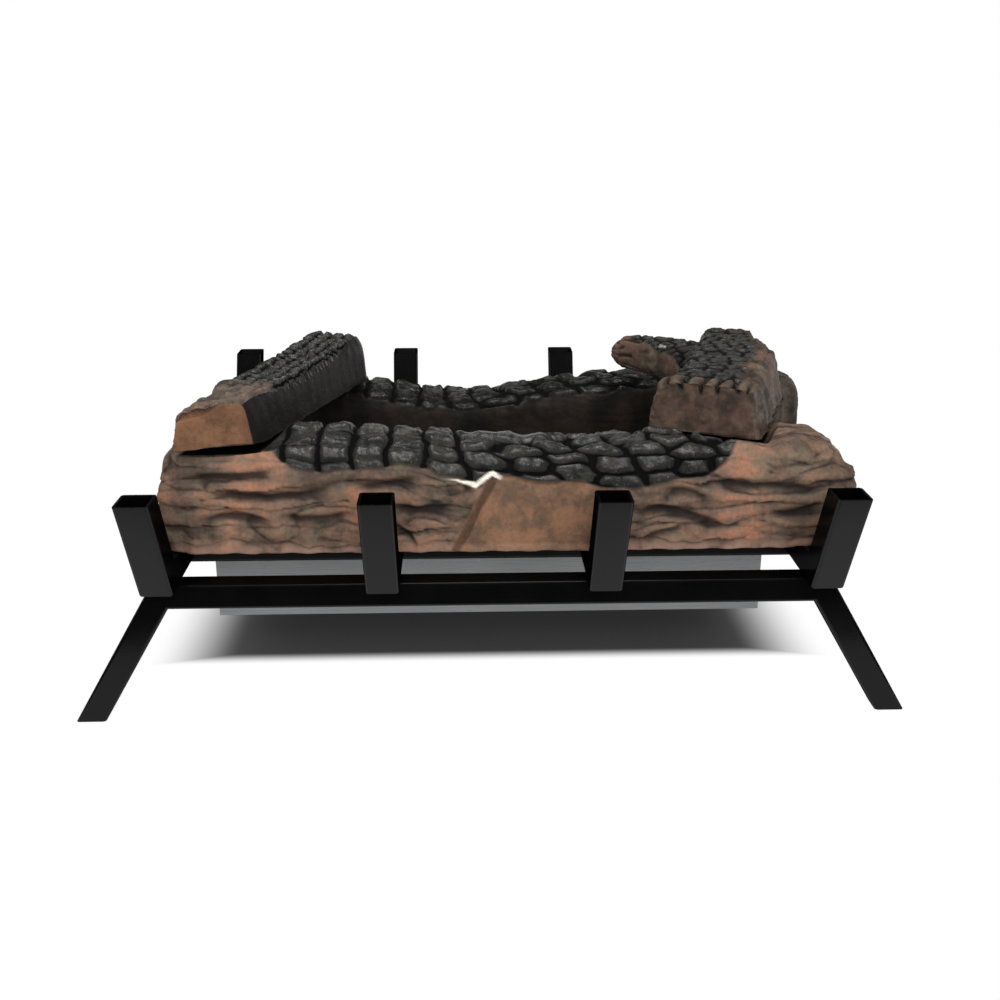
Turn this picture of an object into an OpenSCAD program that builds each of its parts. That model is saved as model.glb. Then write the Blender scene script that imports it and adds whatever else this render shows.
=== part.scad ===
// Bioethanol fire grate: a black square-tube log cradle, a drop-in spirit burner
// with two sliding shutters, and four moulded ceramic logs.
// X runs along the grate, Y from front to back, Z up. The origin is on the floor in the middle.

/* [Frame] */
// Distance between neighbouring posts, centre to centre
bar_pitch = 167; // [155:1:185]
// Outside size of the square tube of the posts and bars
bar_tube = 25; // [20:1:30]
// Wall of the post and bar tube
bar_wall = 2; // [1.5:0.1:3]
// Outside size of the square tube of the rails and legs
rail_tube = 20; // [16:1:25]
// Wall of the rail and leg tube
rail_wall = 1.5; // [1.2:0.1:2.5]
// Outside corner radius of both tubes
tube_round = 2.5; // [1:0.1:3]
// Height of the top of the rails above the floor
rail_top = 115; // [105:1:150]
// Depth over the front and rear rails
frame_d = 390; // [380:1:430]
// How far each rail runs past the middle of the outer bars
rail_over = 9.5; // [5:0.5:15]
// How far each foot reaches out past the end of its rail
leg_reach = 68; // [40:1:90]
// Thickness of the plate that closes each foot
foot_plate_t = 2; // [1:0.5:4]

/* [Posts] */
// Lean of the posts from upright, in degrees
post_lean = 27; // [10:1:35]
// Height of the post tops above the floor
post_top = 200; // [180:1:240]
// How far the foot of each post stands out from its rail
post_reach = 20; // [14:1:28]

/* [Burner] */
// Width of the burner body from front to back
burner_w = 156; // [140:1:166]
// Depth of the burner body below its top plate
burner_h = 78; // [72:1:95]
// Gap between the burner and the outer bars at each end
burner_end_gap = 3; // [2:0.5:8]
// Gap between the burner body and the rails that carry it
burner_side_gap = 1; // [0.5:0.1:3]
// Sheet thickness of the burner body and tank
burner_sheet = 1.2; // [0.8:0.1:2]
// Thickness of the burner's top plate
plate_t = 1.5; // [1:0.1:3]
// How far the top plate rests on each burner rail
plate_rest = 9; // [5:0.5:10]
// Gap between the edge of the top plate and the short bars
plate_gap = 1.5; // [1:0.1:3]
// Width of the flame slot
slot_w = 60; // [40:1:66]

/* [Fuel tank] */
// How far the tank reaches past the slot all round
tank_margin = 24; // [20:1:28]
// Depth of the fuel tank
tank_h = 66; // [58:1:68]
// Height of the ceramic wool in the tank
wool_h = 40; // [25:1:44]
// Clearance round the wool and its screen
wool_gap = 0.5; // [0.3:0.1:1]
// Thickness of the slotted screen over the wool
screen_t = 1.5; // [1:0.1:3]
// Number of screen slots along the tank
screen_cols = 9; // [5:1:12]
// Number of screen slots across the tank
screen_rows = 4; // [2:1:5]
// Width of the bars between the screen slots
screen_bar = 6; // [4:0.5:8]

/* [Shutters] */
// Thickness of each sliding shutter
shutter_t = 2; // [1.5:0.1:3]
// How far a closed shutter laps over the slot at its sides and end
shutter_lap = 7; // [5:0.5:9]
// Gap between a parked shutter and the end of the burner
shutter_end_gap = 7.5; // [4:0.5:15]
// Sliding clearance round the shutters
slide_gap = 0.3; // [0.2:0.05:0.5]
// Gap from a parked shutter to the slot, and half the gap between two closed ones
shutter_park = 0.5; // [0.3:0.1:1]
// Width of the foot of each guide strip
guide_foot = 10; // [9:0.5:12]
// Width of the guide lip over the edge of the shutters
guide_lip = 4; // [3:0.5:6]
// Thickness of the guide lip
guide_lip_t = 1.2; // [1:0.1:2]
// Diameter of the shutter knobs
knob_d = 16; // [12:1:20]
// Height of the shutter knobs
knob_h = 17; // [14:1:22]
// Distance from a shutter's inner edge to its knob
knob_inset = 20; // [14:1:30]
// Diameter of the knob studs and of the guide rivets
stud_d = 4; // [3:0.5:5]
// Radial clearance of studs and rivets in their holes
stud_gap = 0.05; // [0.02:0.01:0.1]
// Height of the rivet heads
rivet_head_h = 1.6; // [1:0.1:2.5]

/* [Front and rear logs] */
// Length of the front log
front_log_l = 525; // [480:1:560]
// Depth of the front log from front to back
front_log_w = 88; // [80:1:92]
// Height of the front log at its ends
front_log_h = 88; // [82:1:100]
// How far the middle of the front log dips
front_log_dip = 13; // [0:1:13]
// Shift of the front log to the right
front_log_shift = 13.5; // [-10:0.5:20]
// Length of the rear log
rear_log_l = 584; // [550:2:600]
// Depth of the rear log from front to back
rear_log_w = 88; // [80:1:92]
// Height of the rear log at its ends
rear_log_h = 57; // [52:1:75]
// How far the middle of the rear log dips
rear_log_dip = 20; // [0:1:22]
// How far the left end of the rear log steps down
rear_log_end_drop = 9; // [0:1:12]
// Shift of the rear log to the right
rear_log_shift = 21; // [0:1:30]
// Depth of the bark furrows and of the cracks in the char
log_relief = 3.5; // [0:0.5:5]
// Distance between the furrows on the back of the logs
bark_pitch = 27; // [20:1:40]
// Half width of a furrow in the front face
furrow_r = 5; // [4:0.5:8]
// Distance between the cracks across the char
crack_pitch = 26; // [22:1:40]
// Height of the char on the front log, down from its top
front_char_h = 24; // [16:1:30]
// Height of the char on the rear log, down from its top
rear_char_h = 12; // [8:1:20]
// Gap between a log and what it rests on
log_gap = 0.3; // [0.2:0.05:0.6]
// Gap between the front and rear logs and the foot of the posts
log_post_gap = 2; // [1:0.5:6]

/* [Top logs] */
// Length of the left top log
left_log_l = 338; // [328:1:350]
// Width of the left top log
left_log_w = 58; // [52:1:66]
// Height of the left top log at its front end
left_log_h = 35; // [30:1:40]
// Turn of the left top log from straight front to back, in degrees
left_log_turn = 10; // [6:0.2:13]
// How far in from the left end of the front log the left top log starts
left_log_in = 44.5; // [38:0.5:60]
// How far in from the right end of the front log the branch log starts
branch_in = 111.5; // [100:0.5:130]
// How far the branch log's rear end stands right of its front end
branch_sweep = 75; // [60:1:90]
// How far the tip of its limb reaches left of its front end
limb_reach = 40.5; // [20:0.5:55]
// Width of the branch log at its sawn front end
branch_w = 88; // [78:1:94]
// Height of the branch log at its sawn front end
branch_h = 40; // [36:1:48]
// How much narrower the top logs are at their tops, as a share of their width
log_draft = 0.18; // [0:0.02:0.3]
// Depth of the flat seats in the front log under the top logs
front_seat_cut = 13; // [6:1:15]
// Depth of the flat seats in the rear log under the top logs
rear_seat_cut = 7; // [4:1:9]

/* [Hidden] */

$fn = 32;
far = 2000;
black = "#161616";
steel = "#b4b6b8";

// Places across the grate
bar_x = [for (i = [0 : 3]) (i - 1.5) * bar_pitch];
rail_end_x = bar_x[3] + rail_over;
leg_angle = atan2(leg_reach, rail_top);
bar_top = rail_top + bar_tube;
post_foot_y = frame_d / 2 + post_reach;
inner_round = 0.5;

// The burner hangs by its top plate from the two burner rails
burner_l = 2 * (bar_x[3] - bar_tube / 2 - burner_end_gap);
burner_rail_y = burner_w / 2 + burner_side_gap + rail_tube / 2;
burner_rail_l = 2 * bar_x[3] + bar_tube;
plate_w = burner_w + 2 * burner_side_gap + 2 * plate_rest;
plate_top = rail_top + plate_t;
stub_end_y = plate_w / 2 + plate_gap;
slot_l = burner_l / 2 - shutter_park - shutter_lap - shutter_end_gap;
tank_l = slot_l + 2 * tank_margin;
tank_w = slot_w + 2 * tank_margin;
wool_z = rail_top - tank_h + burner_sheet;
wool_l = tank_l - 2 * burner_sheet - 2 * wool_gap;
wool_w = tank_w - 2 * burner_sheet - 2 * wool_gap;
screen_z = wool_z + wool_h;

// Shutters park beside the slot and slide over it, held down by the guide lips
shutter_z = plate_top + slide_gap;
shutter_w = slot_w + 2 * shutter_lap;
shutter_l = slot_l / 2 + shutter_lap;
shutter_in_x = slot_l / 2 + shutter_park;
guide_in_y = shutter_w / 2 + slide_gap;
guide_lip_z = shutter_z + shutter_t + slide_gap;
guide_top = guide_lip_z + guide_lip_t;
guide_l = 2 * (shutter_in_x + shutter_l);
rivet_x = [for (k = [-1.5 : 1 : 1.5]) k * guide_l / 4.4];
rivet_y = guide_in_y + guide_foot / 2;
stud_hole_r = stud_d / 2 + stud_gap;
rivet_head_r = stud_d * 0.95;
knob_x = shutter_in_x + knob_inset;
knob_z = shutter_z + shutter_t;

// The front and rear logs lie on the bars beside the posts
log_base = bar_top + log_gap;
post_in_y = post_foot_y + bar_tube * tan(post_lean) - bar_tube / cos(post_lean);
front_log_y = front_log_w / 2 + log_post_gap - post_in_y;
rear_log_y = post_in_y - log_post_gap - rear_log_w / 2;
front_seat = log_base + front_log_h - front_seat_cut;
rear_seat = log_base + rear_log_h - rear_seat_cut;
section_power = 0.66;
split_power = 0.3;
log_undercut = 24;
log_lump = 1.6;

// Half width of a log's section where its seat is cut flat
function seat_half(w, h, cut) =
    let (b = (h + log_undercut) / 2, p = 2 / section_power)
    w / 2 * pow(1 - pow((b - cut) / b, p), 1 / p);

// The top logs lie on the rear edges of those flats, so they slope down to the back
front_seat_y = front_log_y + seat_half(front_log_w, front_log_h, front_seat_cut);
rear_seat_y = rear_log_y + seat_half(rear_log_w, rear_log_h, rear_seat_cut);
top_tilt = atan2(rear_seat - front_seat, rear_seat_y - front_seat_y);
left_start = [front_log_shift - front_log_l / 2 + left_log_in, front_log_y - 0.66 * left_log_w];
left_heading = 90 - left_log_turn;
// Their sawn front ends are out of square by the skew, and their tops fall to one side by the slope
left_skew = -0.56;
left_slope = -0.08;
branch_skew = -0.14;
branch_slope = 0.06;
branch_x = front_log_shift + front_log_l / 2 - branch_in;
log_span = rear_log_y - front_log_y;
branch_path = [
    [branch_x, front_log_y + 0.08 * branch_w],
    [branch_x + 0.7 * branch_sweep, front_log_y + 0.38 * log_span],
    [branch_x + branch_sweep, front_log_y + 0.92 * log_span]
];
limb_path = [
    [branch_x + 0.6 * branch_sweep, front_log_y + 0.57 * log_span],
    [branch_x + 0.16 * branch_sweep, front_log_y + 0.73 * log_span],
    [branch_x - limb_reach, front_log_y + 0.86 * log_span]
];

// Zones along X where the flats are cut
left_front_zone = [left_start.x - 1.6 * left_log_w, left_start.x + 0.8 * left_log_w];
left_rear_zone = [left_start.x - 0.1 * left_log_w, left_start.x + 1.8 * left_log_w];
branch_front_zone = [branch_x - 0.7 * branch_w, branch_x + 0.7 * branch_w];
branch_rear_zone = [branch_x + branch_sweep - 0.55 * branch_w, branch_x + branch_sweep + 0.6 * branch_w];

// Main furrows in the front face of the front log, as shares of its half length and its height:
// [start, end, height at the start, height at the end, bow]
furrows = [
    [-0.93, -0.65, 0.70, 0.73, 0], [-0.85, -0.49, 0.57, 0.61, -0.07], [-0.45, -0.25, 0.60, 0.67, -0.01],
    [-0.91, -0.66, 0.28, 0.26, 0.08], [-0.66, -0.44, 0.33, 0.36, -0.02], [-0.32, -0.16, 0.39, 0.42, 0],
    [-0.34, -0.27, 0.28, 0.08, 0], [0.43, 0.58, 0.53, 0.43, 0.05], [0.37, 0.62, 0.39, 0.19, 0.05],
    [0.55, 0.91, 0.62, 0.53, 0], [0.73, 0.89, 0.33, 0.41, -0.03], [0.36, 0.51, 0.08, 0.23, 0.01]
];
// Smooth cut face between them: its left edge at the base and at the top, its right edge
cut_left_low = -0.18;
cut_left_high = -0.014;
cut_right = 0.3;
// Stretch of each log that is charred on top, as shares of its half length
front_char = [-0.7, 0.65];
rear_char = [-0.84, 0.96];

// Square tube with rounded corners, along Z
module rounded_square(size, r) {
    square([size, size - 2 * r], center = true);
    square([size - 2 * r, size], center = true);
    for (sx = [-1, 1], sy = [-1, 1])
        translate([sx * (size / 2 - r), sy * (size / 2 - r)]) circle(r);
}

module tube(size, wall, len) {
    linear_extrude(len) difference() {
        rounded_square(size, tube_round);
        rounded_square(size - 2 * wall, max(tube_round - wall, inner_round));
    }
}

// All that lies past the origin in the direction a, turned from +X towards +Z
module beyond(a) {
    rotate([0, -a, 0]) translate([0, -far / 2, -far / 2]) cube(far);
}

// Rails end in a mitre that halves the angle to their legs
module rail_part(y) {
    color(black) translate([0, y, 0]) difference() {
        translate([-rail_end_x, 0, rail_top - rail_tube / 2])
            rotate([0, 90, 0]) tube(rail_tube, rail_wall, 2 * rail_end_x);
        for (side = [0, 1]) mirror([side, 0, 0])
            translate([rail_end_x, 0, rail_top]) beyond(leg_angle / 2 - 45);
    }
}

// A profile laid along a leg, from above its mitre to below the floor
module along_leg() {
    translate([rail_end_x, 0, rail_top]) rotate([0, 180 - leg_angle, 0])
        translate([rail_tube / 2, 0, -2 * rail_tube]) children();
}

module leg_part(side, y) {
    leg_cut = rail_top / cos(leg_angle) + 4 * rail_tube;
    color(black) translate([0, y, 0]) mirror([side < 0 ? 1 : 0, 0, 0]) difference() {
        along_leg() tube(rail_tube, rail_wall, leg_cut);
        translate([rail_end_x, 0, rail_top]) beyond(leg_angle / 2 + 135);
        beyond(-90);
    }
}

module foot_plates() {
    leg_cut = rail_top / cos(leg_angle) + 4 * rail_tube;
    color(black) for (side = [0, 1], y = [-1, 1])
        translate([0, y * (frame_d - rail_tube) / 2, 0]) mirror([side, 0, 0]) difference() {
            along_leg() linear_extrude(leg_cut)
                rounded_square(rail_tube - 2 * rail_wall, tube_round);
            translate([0, 0, foot_plate_t]) beyond(90);
            beyond(-90);
        }
}

module burner_rail(y) {
    color(black) translate([-burner_rail_l / 2, y, rail_top - rail_tube / 2])
        rotate([0, 90, 0]) tube(rail_tube, rail_wall, burner_rail_l);
}

// Bars and posts are drawn outward along X, then turned to the front or the rear
module to_front() { rotate([0, 0, -90]) children(); }
module to_rear() { rotate([0, 0, 90]) children(); }

module bar_between(from_y, mitres) {
    difference() {
        translate([from_y, 0, rail_top + bar_tube / 2]) rotate([0, 90, 0])
            tube(bar_tube, bar_wall, post_foot_y - from_y);
        for (side = mitres) mirror([side, 0, 0])
            translate([post_foot_y, 0, rail_top]) beyond(45 - post_lean / 2);
    }
}

module cross_bar(i) {
    color(black) translate([bar_x[i], 0, 0]) to_rear() bar_between(-post_foot_y, [0, 1]);
}

module stub(i) { color(black) translate([bar_x[i], 0, 0]) children(); }

module post_part() {
    difference() {
        translate([post_foot_y, 0, rail_top]) rotate([0, post_lean, 0])
            translate([-bar_tube / 2, 0, -bar_tube])
            tube(bar_tube, bar_wall, (post_top - rail_top) / cos(post_lean) + 3 * bar_tube);
        translate([post_foot_y, 0, rail_top]) beyond(225 - post_lean / 2);
        translate([0, 0, post_top]) beyond(90);
    }
}

module front_post(i) { color(black) translate([bar_x[i], 0, 0]) to_front() post_part(); }
module rear_post(i) { color(black) translate([bar_x[i], 0, 0]) to_rear() post_part(); }

// Burner
module box_at(size, z) { translate([-size.x / 2, -size.y / 2, z]) cube(size); }

module tray(size, z) {
    difference() {
        box_at(size, z);
        box_at(size - 2 * burner_sheet * [1, 1, 0], z + burner_sheet);
    }
}

module burner_body() {
    color(steel) tray([burner_l, burner_w, burner_h], rail_top - burner_h);
}

module fuel_tank() {
    color(steel) tray([tank_l, tank_w, tank_h], rail_top - tank_h);
}

module at_rivets() {
    for (x = rivet_x, y = [-1, 1]) translate([x, y * rivet_y, 0]) children();
}

module burner_top_plate() {
    color(steel) difference() {
        box_at([burner_l, plate_w, plate_t], rail_top);
        box_at([slot_l, slot_w, 4 * plate_t], rail_top - plate_t);
        at_rivets() translate([0, 0, rail_top - plate_t]) cylinder(h = 4 * plate_t, r = stud_hole_r);
    }
}

module ceramic_wool() { color("#e6e2d8") box_at([wool_l, wool_w, wool_h], wool_z); }

module wool_screen() {
    pitch_x = (wool_l - screen_bar) / screen_cols;
    pitch_y = (wool_w - screen_bar) / screen_rows;
    color(steel) difference() {
        box_at([wool_l, wool_w, screen_t], screen_z);
        for (i = [0 : screen_cols - 1], j = [0 : screen_rows - 1])
            translate([screen_bar - wool_l / 2 + i * pitch_x, screen_bar - wool_w / 2 + j * pitch_y, 0])
                translate([0, 0, screen_z - screen_t])
                cube([pitch_x - screen_bar, pitch_y - screen_bar, 3 * screen_t]);
    }
}

module guide(side) {
    color(steel) difference() {
        mirror([0, side < 0 ? 1 : 0, 0]) {
            translate([-guide_l / 2, guide_in_y, plate_top])
                cube([guide_l, guide_foot, guide_top - plate_top]);
            translate([-guide_l / 2, guide_in_y - guide_lip, guide_lip_z])
                cube([guide_l, guide_lip + guide_foot, guide_lip_t]);
        }
        at_rivets() translate([0, 0, plate_top - 1])
            cylinder(h = guide_top - plate_top + 2, r = stud_hole_r);
    }
}

module guide_rivets() {
    color(steel) at_rivets() rotate_extrude()
        polygon([
            [0, rail_top - rivet_head_h], [rivet_head_r * 0.8, rail_top - rivet_head_h],
            [rivet_head_r * 0.8, rail_top], [stud_d / 2, rail_top],
            [stud_d / 2, guide_top], [rivet_head_r, guide_top],
            [rivet_head_r * 0.8, guide_top + rivet_head_h * 0.7],
            [rivet_head_r * 0.4, guide_top + rivet_head_h], [0, guide_top + rivet_head_h]
        ]);
}

module shutter(side) {
    color(steel) mirror([side < 0 ? 1 : 0, 0, 0]) difference() {
        translate([shutter_in_x, -shutter_w / 2, shutter_z]) cube([shutter_l, shutter_w, shutter_t]);
        translate([knob_x, 0, shutter_z - 1]) cylinder(h = shutter_t + 2, r = stud_hole_r);
    }
}

module knob(side) {
    color("#9a9c9e") translate([side * knob_x, 0, 0]) rotate_extrude()
        polygon([
            [0, shutter_z], [stud_d / 2, shutter_z], [stud_d / 2, knob_z],
            [knob_d * 0.3, knob_z], [knob_d * 0.3, knob_z + 1.5], [knob_d * 0.22, knob_z + 3],
            [knob_d * 0.22, knob_z + knob_h * 0.4], [knob_d * 0.45, knob_z + knob_h * 0.52],
            [knob_d / 2, knob_z + knob_h * 0.62], [knob_d / 2, knob_z + knob_h * 0.88],
            [knob_d * 0.44, knob_z + knob_h], [0, knob_z + knob_h]
        ]);
}

// Logs. A station is [centre x, centre y, heading, half width, low z, high z, distance, ceiling, skew,
// slope], and on the front and rear logs also the height where the char begins and the share along
function spow(v, p) = sign(v) * pow(abs(v), p);
function lumps(s, t) = 0.6 * sin(9 * s + 3 * t) * cos(2 * t) + 0.4 * sin(17 * s - 2 * t);

// Relief runs from 0 on the ridges to 1 in the grooves. Wavy furrows along the bark
function bark(s, z) =
    let (wave = 55 * sin(2.1 * s + 20) + 45 * sin(3.7 * s + 2 * z))
    pow(max(0, sin(360 * z / bark_pitch + wave)), 1.5)
        * (0.55 + 0.45 * sin(4.6 * s + 5 * z + 40 * sin(1.3 * s)));

// Cracks between the blocks of char, across the log and along it
function blocks(s, side) =
    let (
        across = pow(abs(cos(180 * s / crack_pitch + 25 * sin(6 * side))), 4),
        lengthwise = pow(abs(cos(180 * side / crack_pitch + 20 * sin(5 * s))), 4)
    )
    1 - (1 - across) * (1 - lengthwise);

function furrow(f, v, z) =
    let (
        u = (v - f[0]) / (f[1] - f[0]),
        line = front_log_h * (f[2] + (f[3] - f[2]) * u + 4 * f[4] * u * (1 - u))
    )
    u < 0 || u > 1 ? 0 : min(1, 8 * u * (1 - u)) * exp(-pow((z - line) / furrow_r, 2));

function ramp(v) = min(1, max(0, v));
function cut_face(v, z) =
    let (left = cut_left_low + (cut_left_high - cut_left_low) * z / front_log_h)
    ramp(25 * (v - left)) * ramp(10 * (cut_right - v));

// side is the distance right or left of the log's middle, before the relief
function relief(st, side, z) =
    let (seat_edge = st[7] < no_ceiling && side > 0.6 * st[3])
    seat_edge ? 0
        : z > st[10] ? blocks(st[6], side)
        : side > 0 ? bark(st[6], z - log_base)
        : st[1] > 0 ? 0
        : max(cut_face(st[11], z - log_base), max([for (f = furrows) furrow(f, st[11], z - log_base)]));

function section_point(st, t, power, floor_z, draft) =
    let (
        mid = (st[4] + st[5]) / 2,
        tall = (st[5] - st[4]) / 2,
        rough = is_undef(st[10]) ? 0
            : relief(st, st[3] * spow(cos(t), power), mid + tall * spow(sin(t), power)),
        d = log_lump * lumps(st[6], t) - log_relief * rough,
        z = (mid + (tall + d) * spow(sin(t), power)) * (1 + st[9] * spow(cos(t), power)),
        side = (st[3] + d) * spow(cos(t), power) * (1 - draft * max(z, 0) / st[5]),
        fwd = st[8] * side
    )
    [
        st[0] + fwd * cos(st[2]) - side * sin(st[2]),
        st[1] + fwd * sin(st[2]) + side * cos(st[2]),
        min(max(z, floor_z), st[7])
    ];

// Angles that step evenly round a section with flat sides
function even(u) = u - 10 * sin(4 * u);

// Skin through the sections, closed by a fan at each end. The draft narrows them towards their tops
module loft(stations, sides, power, floor_z, draft = 0) {
    rings = [for (st = stations)
        [for (i = [0 : sides - 1]) section_point(st, even(360 * i / sides), power, floor_z, draft)]];
    n = len(rings);
    end_mid = function(r) [for (k = [0 : 2]) let (all = [for (p = r) p[k]]) (max(all) + min(all)) / 2];
    points = [for (r = rings) each r, end_mid(rings[0]), end_mid(rings[n - 1])];
    faces = [
        for (j = [0 : n - 2], i = [0 : sides - 1])
            let (a = j * sides + i, b = j * sides + (i + 1) % sides)
            each [[a, a + sides, b], [b, a + sides, b + sides]],
        for (i = [0 : sides - 1]) [n * sides, i, (i + 1) % sides],
        for (i = [0 : sides - 1])
            [n * sides + 1, (n - 1) * sides + (i + 1) % sides, (n - 1) * sides + i]
    ];
    polyhedron(points, faces, convexity = 6);
}

// Section size along a log: full in the middle, rounded in over the last stretch
function round_end(v) = 1 - 0.2 * pow(abs(v), 24);
function sawn_end(v) = 1 - 0.1 * pow(abs(v), 24);
// Even steps from -1 to 1, drawn closer at both ends
function along(i, n) = let (v = 2 * i / n - 1) v * (1.18 - 0.18 * v * v);
function dip(x, mid, width) = exp(-pow((x - mid) / width, 2));
function left_of(x, edge, width) = 1 / (1 + exp((x - edge) / width));
function inside(x, zone) = x > zone[0] && x < zone[1];
no_ceiling = 10000;

module front_log() {
    steps = 80;
    stations = [for (i = [0 : steps]) let (
        v = along(i, steps),
        x = front_log_shift + v * front_log_l / 2,
        k = round_end(v),
        drop = v > 0.7 ? 1.6 * front_log_h * pow(v - 0.7, 2) : 0,
        heel = v > 0.7 ? 14 * log_undercut * pow(v - 0.7, 2) : 0,
        high = log_base + front_log_h * (0.25 + 0.75 * k) - front_log_dip * dip(x, 50, 130) - drop,
        seat = inside(x, left_front_zone) || inside(x, branch_front_zone)
    ) [x, front_log_y, 0, front_log_w / 2 * k, log_base - log_undercut * k + heel, high, x,
        seat ? front_seat : no_ceiling, 0, 0,
        inside(v, front_char) ? high - front_char_h : no_ceiling, v]];
    color("#8a6a55") loft(stations, 36, section_power, log_base);
}

module rear_log() {
    steps = 84;
    stations = [for (i = [0 : steps]) let (
        v = along(i, steps),
        x = rear_log_shift + v * rear_log_l / 2,
        k = round_end(v),
        high = log_base + rear_log_h * (0.25 + 0.75 * k) - rear_log_dip * dip(x, -20, 100)
            - rear_log_end_drop * left_of(x, -225, 8),
        seat = inside(x, left_rear_zone) || inside(x, branch_rear_zone)
    ) [x, rear_log_y, 0, rear_log_w / 2 * k, log_base - log_undercut * k, high, x + 13,
        seat ? rear_seat : no_ceiling, 0, 0,
        inside(v, rear_char) ? high - rear_char_h : no_ceiling, v]];
    color("#3a3430") loft(stations, 30, section_power, log_base);
}

// Carries a shape whose underside is at z = 0 onto the two seats
module on_seats() {
    translate([0, front_seat_y, front_seat + log_gap]) rotate([top_tilt, 0, 0])
        translate([0, -front_seat_y, 0]) children();
}

module left_log() {
    steps = 26;
    heading = [cos(left_heading), sin(left_heading)];
    stations = [for (i = [0 : steps]) let (
        v = along(i, steps),
        s = (v + 1) / 2 * left_log_l,
        back = s / left_log_l,
        k = sawn_end(v),
        mid = left_start + s * heading,
        high = left_log_h * k * (1 + 0.4 * back * back)
    ) [mid.x, mid.y, left_heading, left_log_w / 2 * k, -0.5 * high, high, s,
        no_ceiling, left_skew * (1 - back), left_slope * (1 - back)]];
    color("#4a3f38") on_seats() loft(stations, 28, split_power, 0, log_draft);
}

// Points and headings along a path of three points
function on_path(p, t) = (1 - t) * (1 - t) * p[0] + 2 * t * (1 - t) * p[1] + t * t * p[2];
function heading_of(p, t) =
    let (d = (1 - t) * (p[1] - p[0]) + t * (p[2] - p[1])) atan2(d.y, d.x);

module branch_trunk() {
    steps = 24;
    stations = [for (i = [0 : steps]) let (
        v = along(i, steps),
        t = (v + 1) / 2,
        k = sawn_end(v),
        high = branch_h * k * (1 + 0.3 * t),
        mid = on_path(branch_path, t),
        half = branch_w / 2 * (1 - 0.32 * pow(t, 1.6) + 0.22 * exp(-pow((t - 0.62) / 0.14, 2)))
    ) [mid.x, mid.y, heading_of(branch_path, t), half * k, -0.5 * high, high, 300 * t,
        no_ceiling, branch_skew * (1 - t), branch_slope * (1 - t)]];
    loft(stations, 28, split_power, 0, log_draft);
}

module branch_limb() {
    steps = 12;
    stations = [for (i = [0 : steps]) let (
        v = along(i, steps),
        t = (v + 1) / 2,
        k = 1 - 0.5 * pow(t, 6),
        mid = on_path(limb_path, t)
    ) [mid.x, mid.y, heading_of(limb_path, t), branch_w * k * (0.3 - 0.13 * t),
        branch_h * (0.1 + 0.32 * t), branch_h * (1.12 + 0.16 * t - 0.24 * pow(t, 6)), 160 * t,
        no_ceiling, 0, 0]];
    loft(stations, 20, section_power, 0, log_draft);
}

module branch_log() {
    color("#5a4438") on_seats() union() {
        branch_trunk();
        branch_limb();
    }
}

rail_part((rail_tube - frame_d) / 2);  // front_rail
rail_part((frame_d - rail_tube) / 2);  // rear_rail
burner_rail(-burner_rail_y);  // front_burner_rail
burner_rail(burner_rail_y);  // rear_burner_rail
leg_part(-1, (rail_tube - frame_d) / 2);  // front_left_leg
leg_part(1, (rail_tube - frame_d) / 2);  // front_right_leg
leg_part(-1, (frame_d - rail_tube) / 2);  // rear_left_leg
leg_part(1, (frame_d - rail_tube) / 2);  // rear_right_leg
foot_plates();
cross_bar(0);  // left_cross_bar
cross_bar(3);  // right_cross_bar
stub(1) to_front() bar_between(stub_end_y, [0]);  // front_stub_left
stub(2) to_front() bar_between(stub_end_y, [0]);  // front_stub_right
stub(1) to_rear() bar_between(stub_end_y, [0]);  // rear_stub_left
stub(2) to_rear() bar_between(stub_end_y, [0]);  // rear_stub_right
front_post(0);  // front_post_1
front_post(1);  // front_post_2
front_post(2);  // front_post_3
front_post(3);  // front_post_4
rear_post(0);  // rear_post_1
rear_post(1);  // rear_post_2
rear_post(2);  // rear_post_3
rear_post(3);  // rear_post_4
burner_body();
burner_top_plate();
fuel_tank();
ceramic_wool();
wool_screen();
guide(-1);  // front_guide
guide(1);  // rear_guide
guide_rivets();
shutter(-1);  // left_shutter
shutter(1);  // right_shutter
knob(-1);  // left_knob
knob(1);  // right_knob
front_log();
rear_log();
left_log();
branch_log();
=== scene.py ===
import math

import bpy
import numpy as np
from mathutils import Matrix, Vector


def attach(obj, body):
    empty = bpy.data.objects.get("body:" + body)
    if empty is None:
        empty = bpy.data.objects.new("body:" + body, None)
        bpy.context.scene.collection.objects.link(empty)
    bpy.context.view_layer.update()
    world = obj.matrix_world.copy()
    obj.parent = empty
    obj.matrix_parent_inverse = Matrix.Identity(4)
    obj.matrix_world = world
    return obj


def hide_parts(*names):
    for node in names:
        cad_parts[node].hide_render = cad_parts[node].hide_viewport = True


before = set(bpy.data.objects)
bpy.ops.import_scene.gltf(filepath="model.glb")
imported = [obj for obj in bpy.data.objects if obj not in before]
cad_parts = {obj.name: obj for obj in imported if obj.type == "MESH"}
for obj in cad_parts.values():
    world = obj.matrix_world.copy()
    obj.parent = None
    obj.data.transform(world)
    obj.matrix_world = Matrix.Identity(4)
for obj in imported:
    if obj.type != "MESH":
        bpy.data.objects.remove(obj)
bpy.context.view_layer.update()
print("grate: frame loaded,", len(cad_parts), "nodes")

mm = 0.001


# Small numpy helpers

def smooth(low, high, x):
    # 0 below low, 1 above high, an S curve between
    t = np.clip((x - low) / (high - low), 0.0, 1.0)
    return t * t * (3 - 2 * t)


def mix(a, b, share):
    # a where the share is 0, b where it is 1
    return a * (1 - share) + b * share


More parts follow.
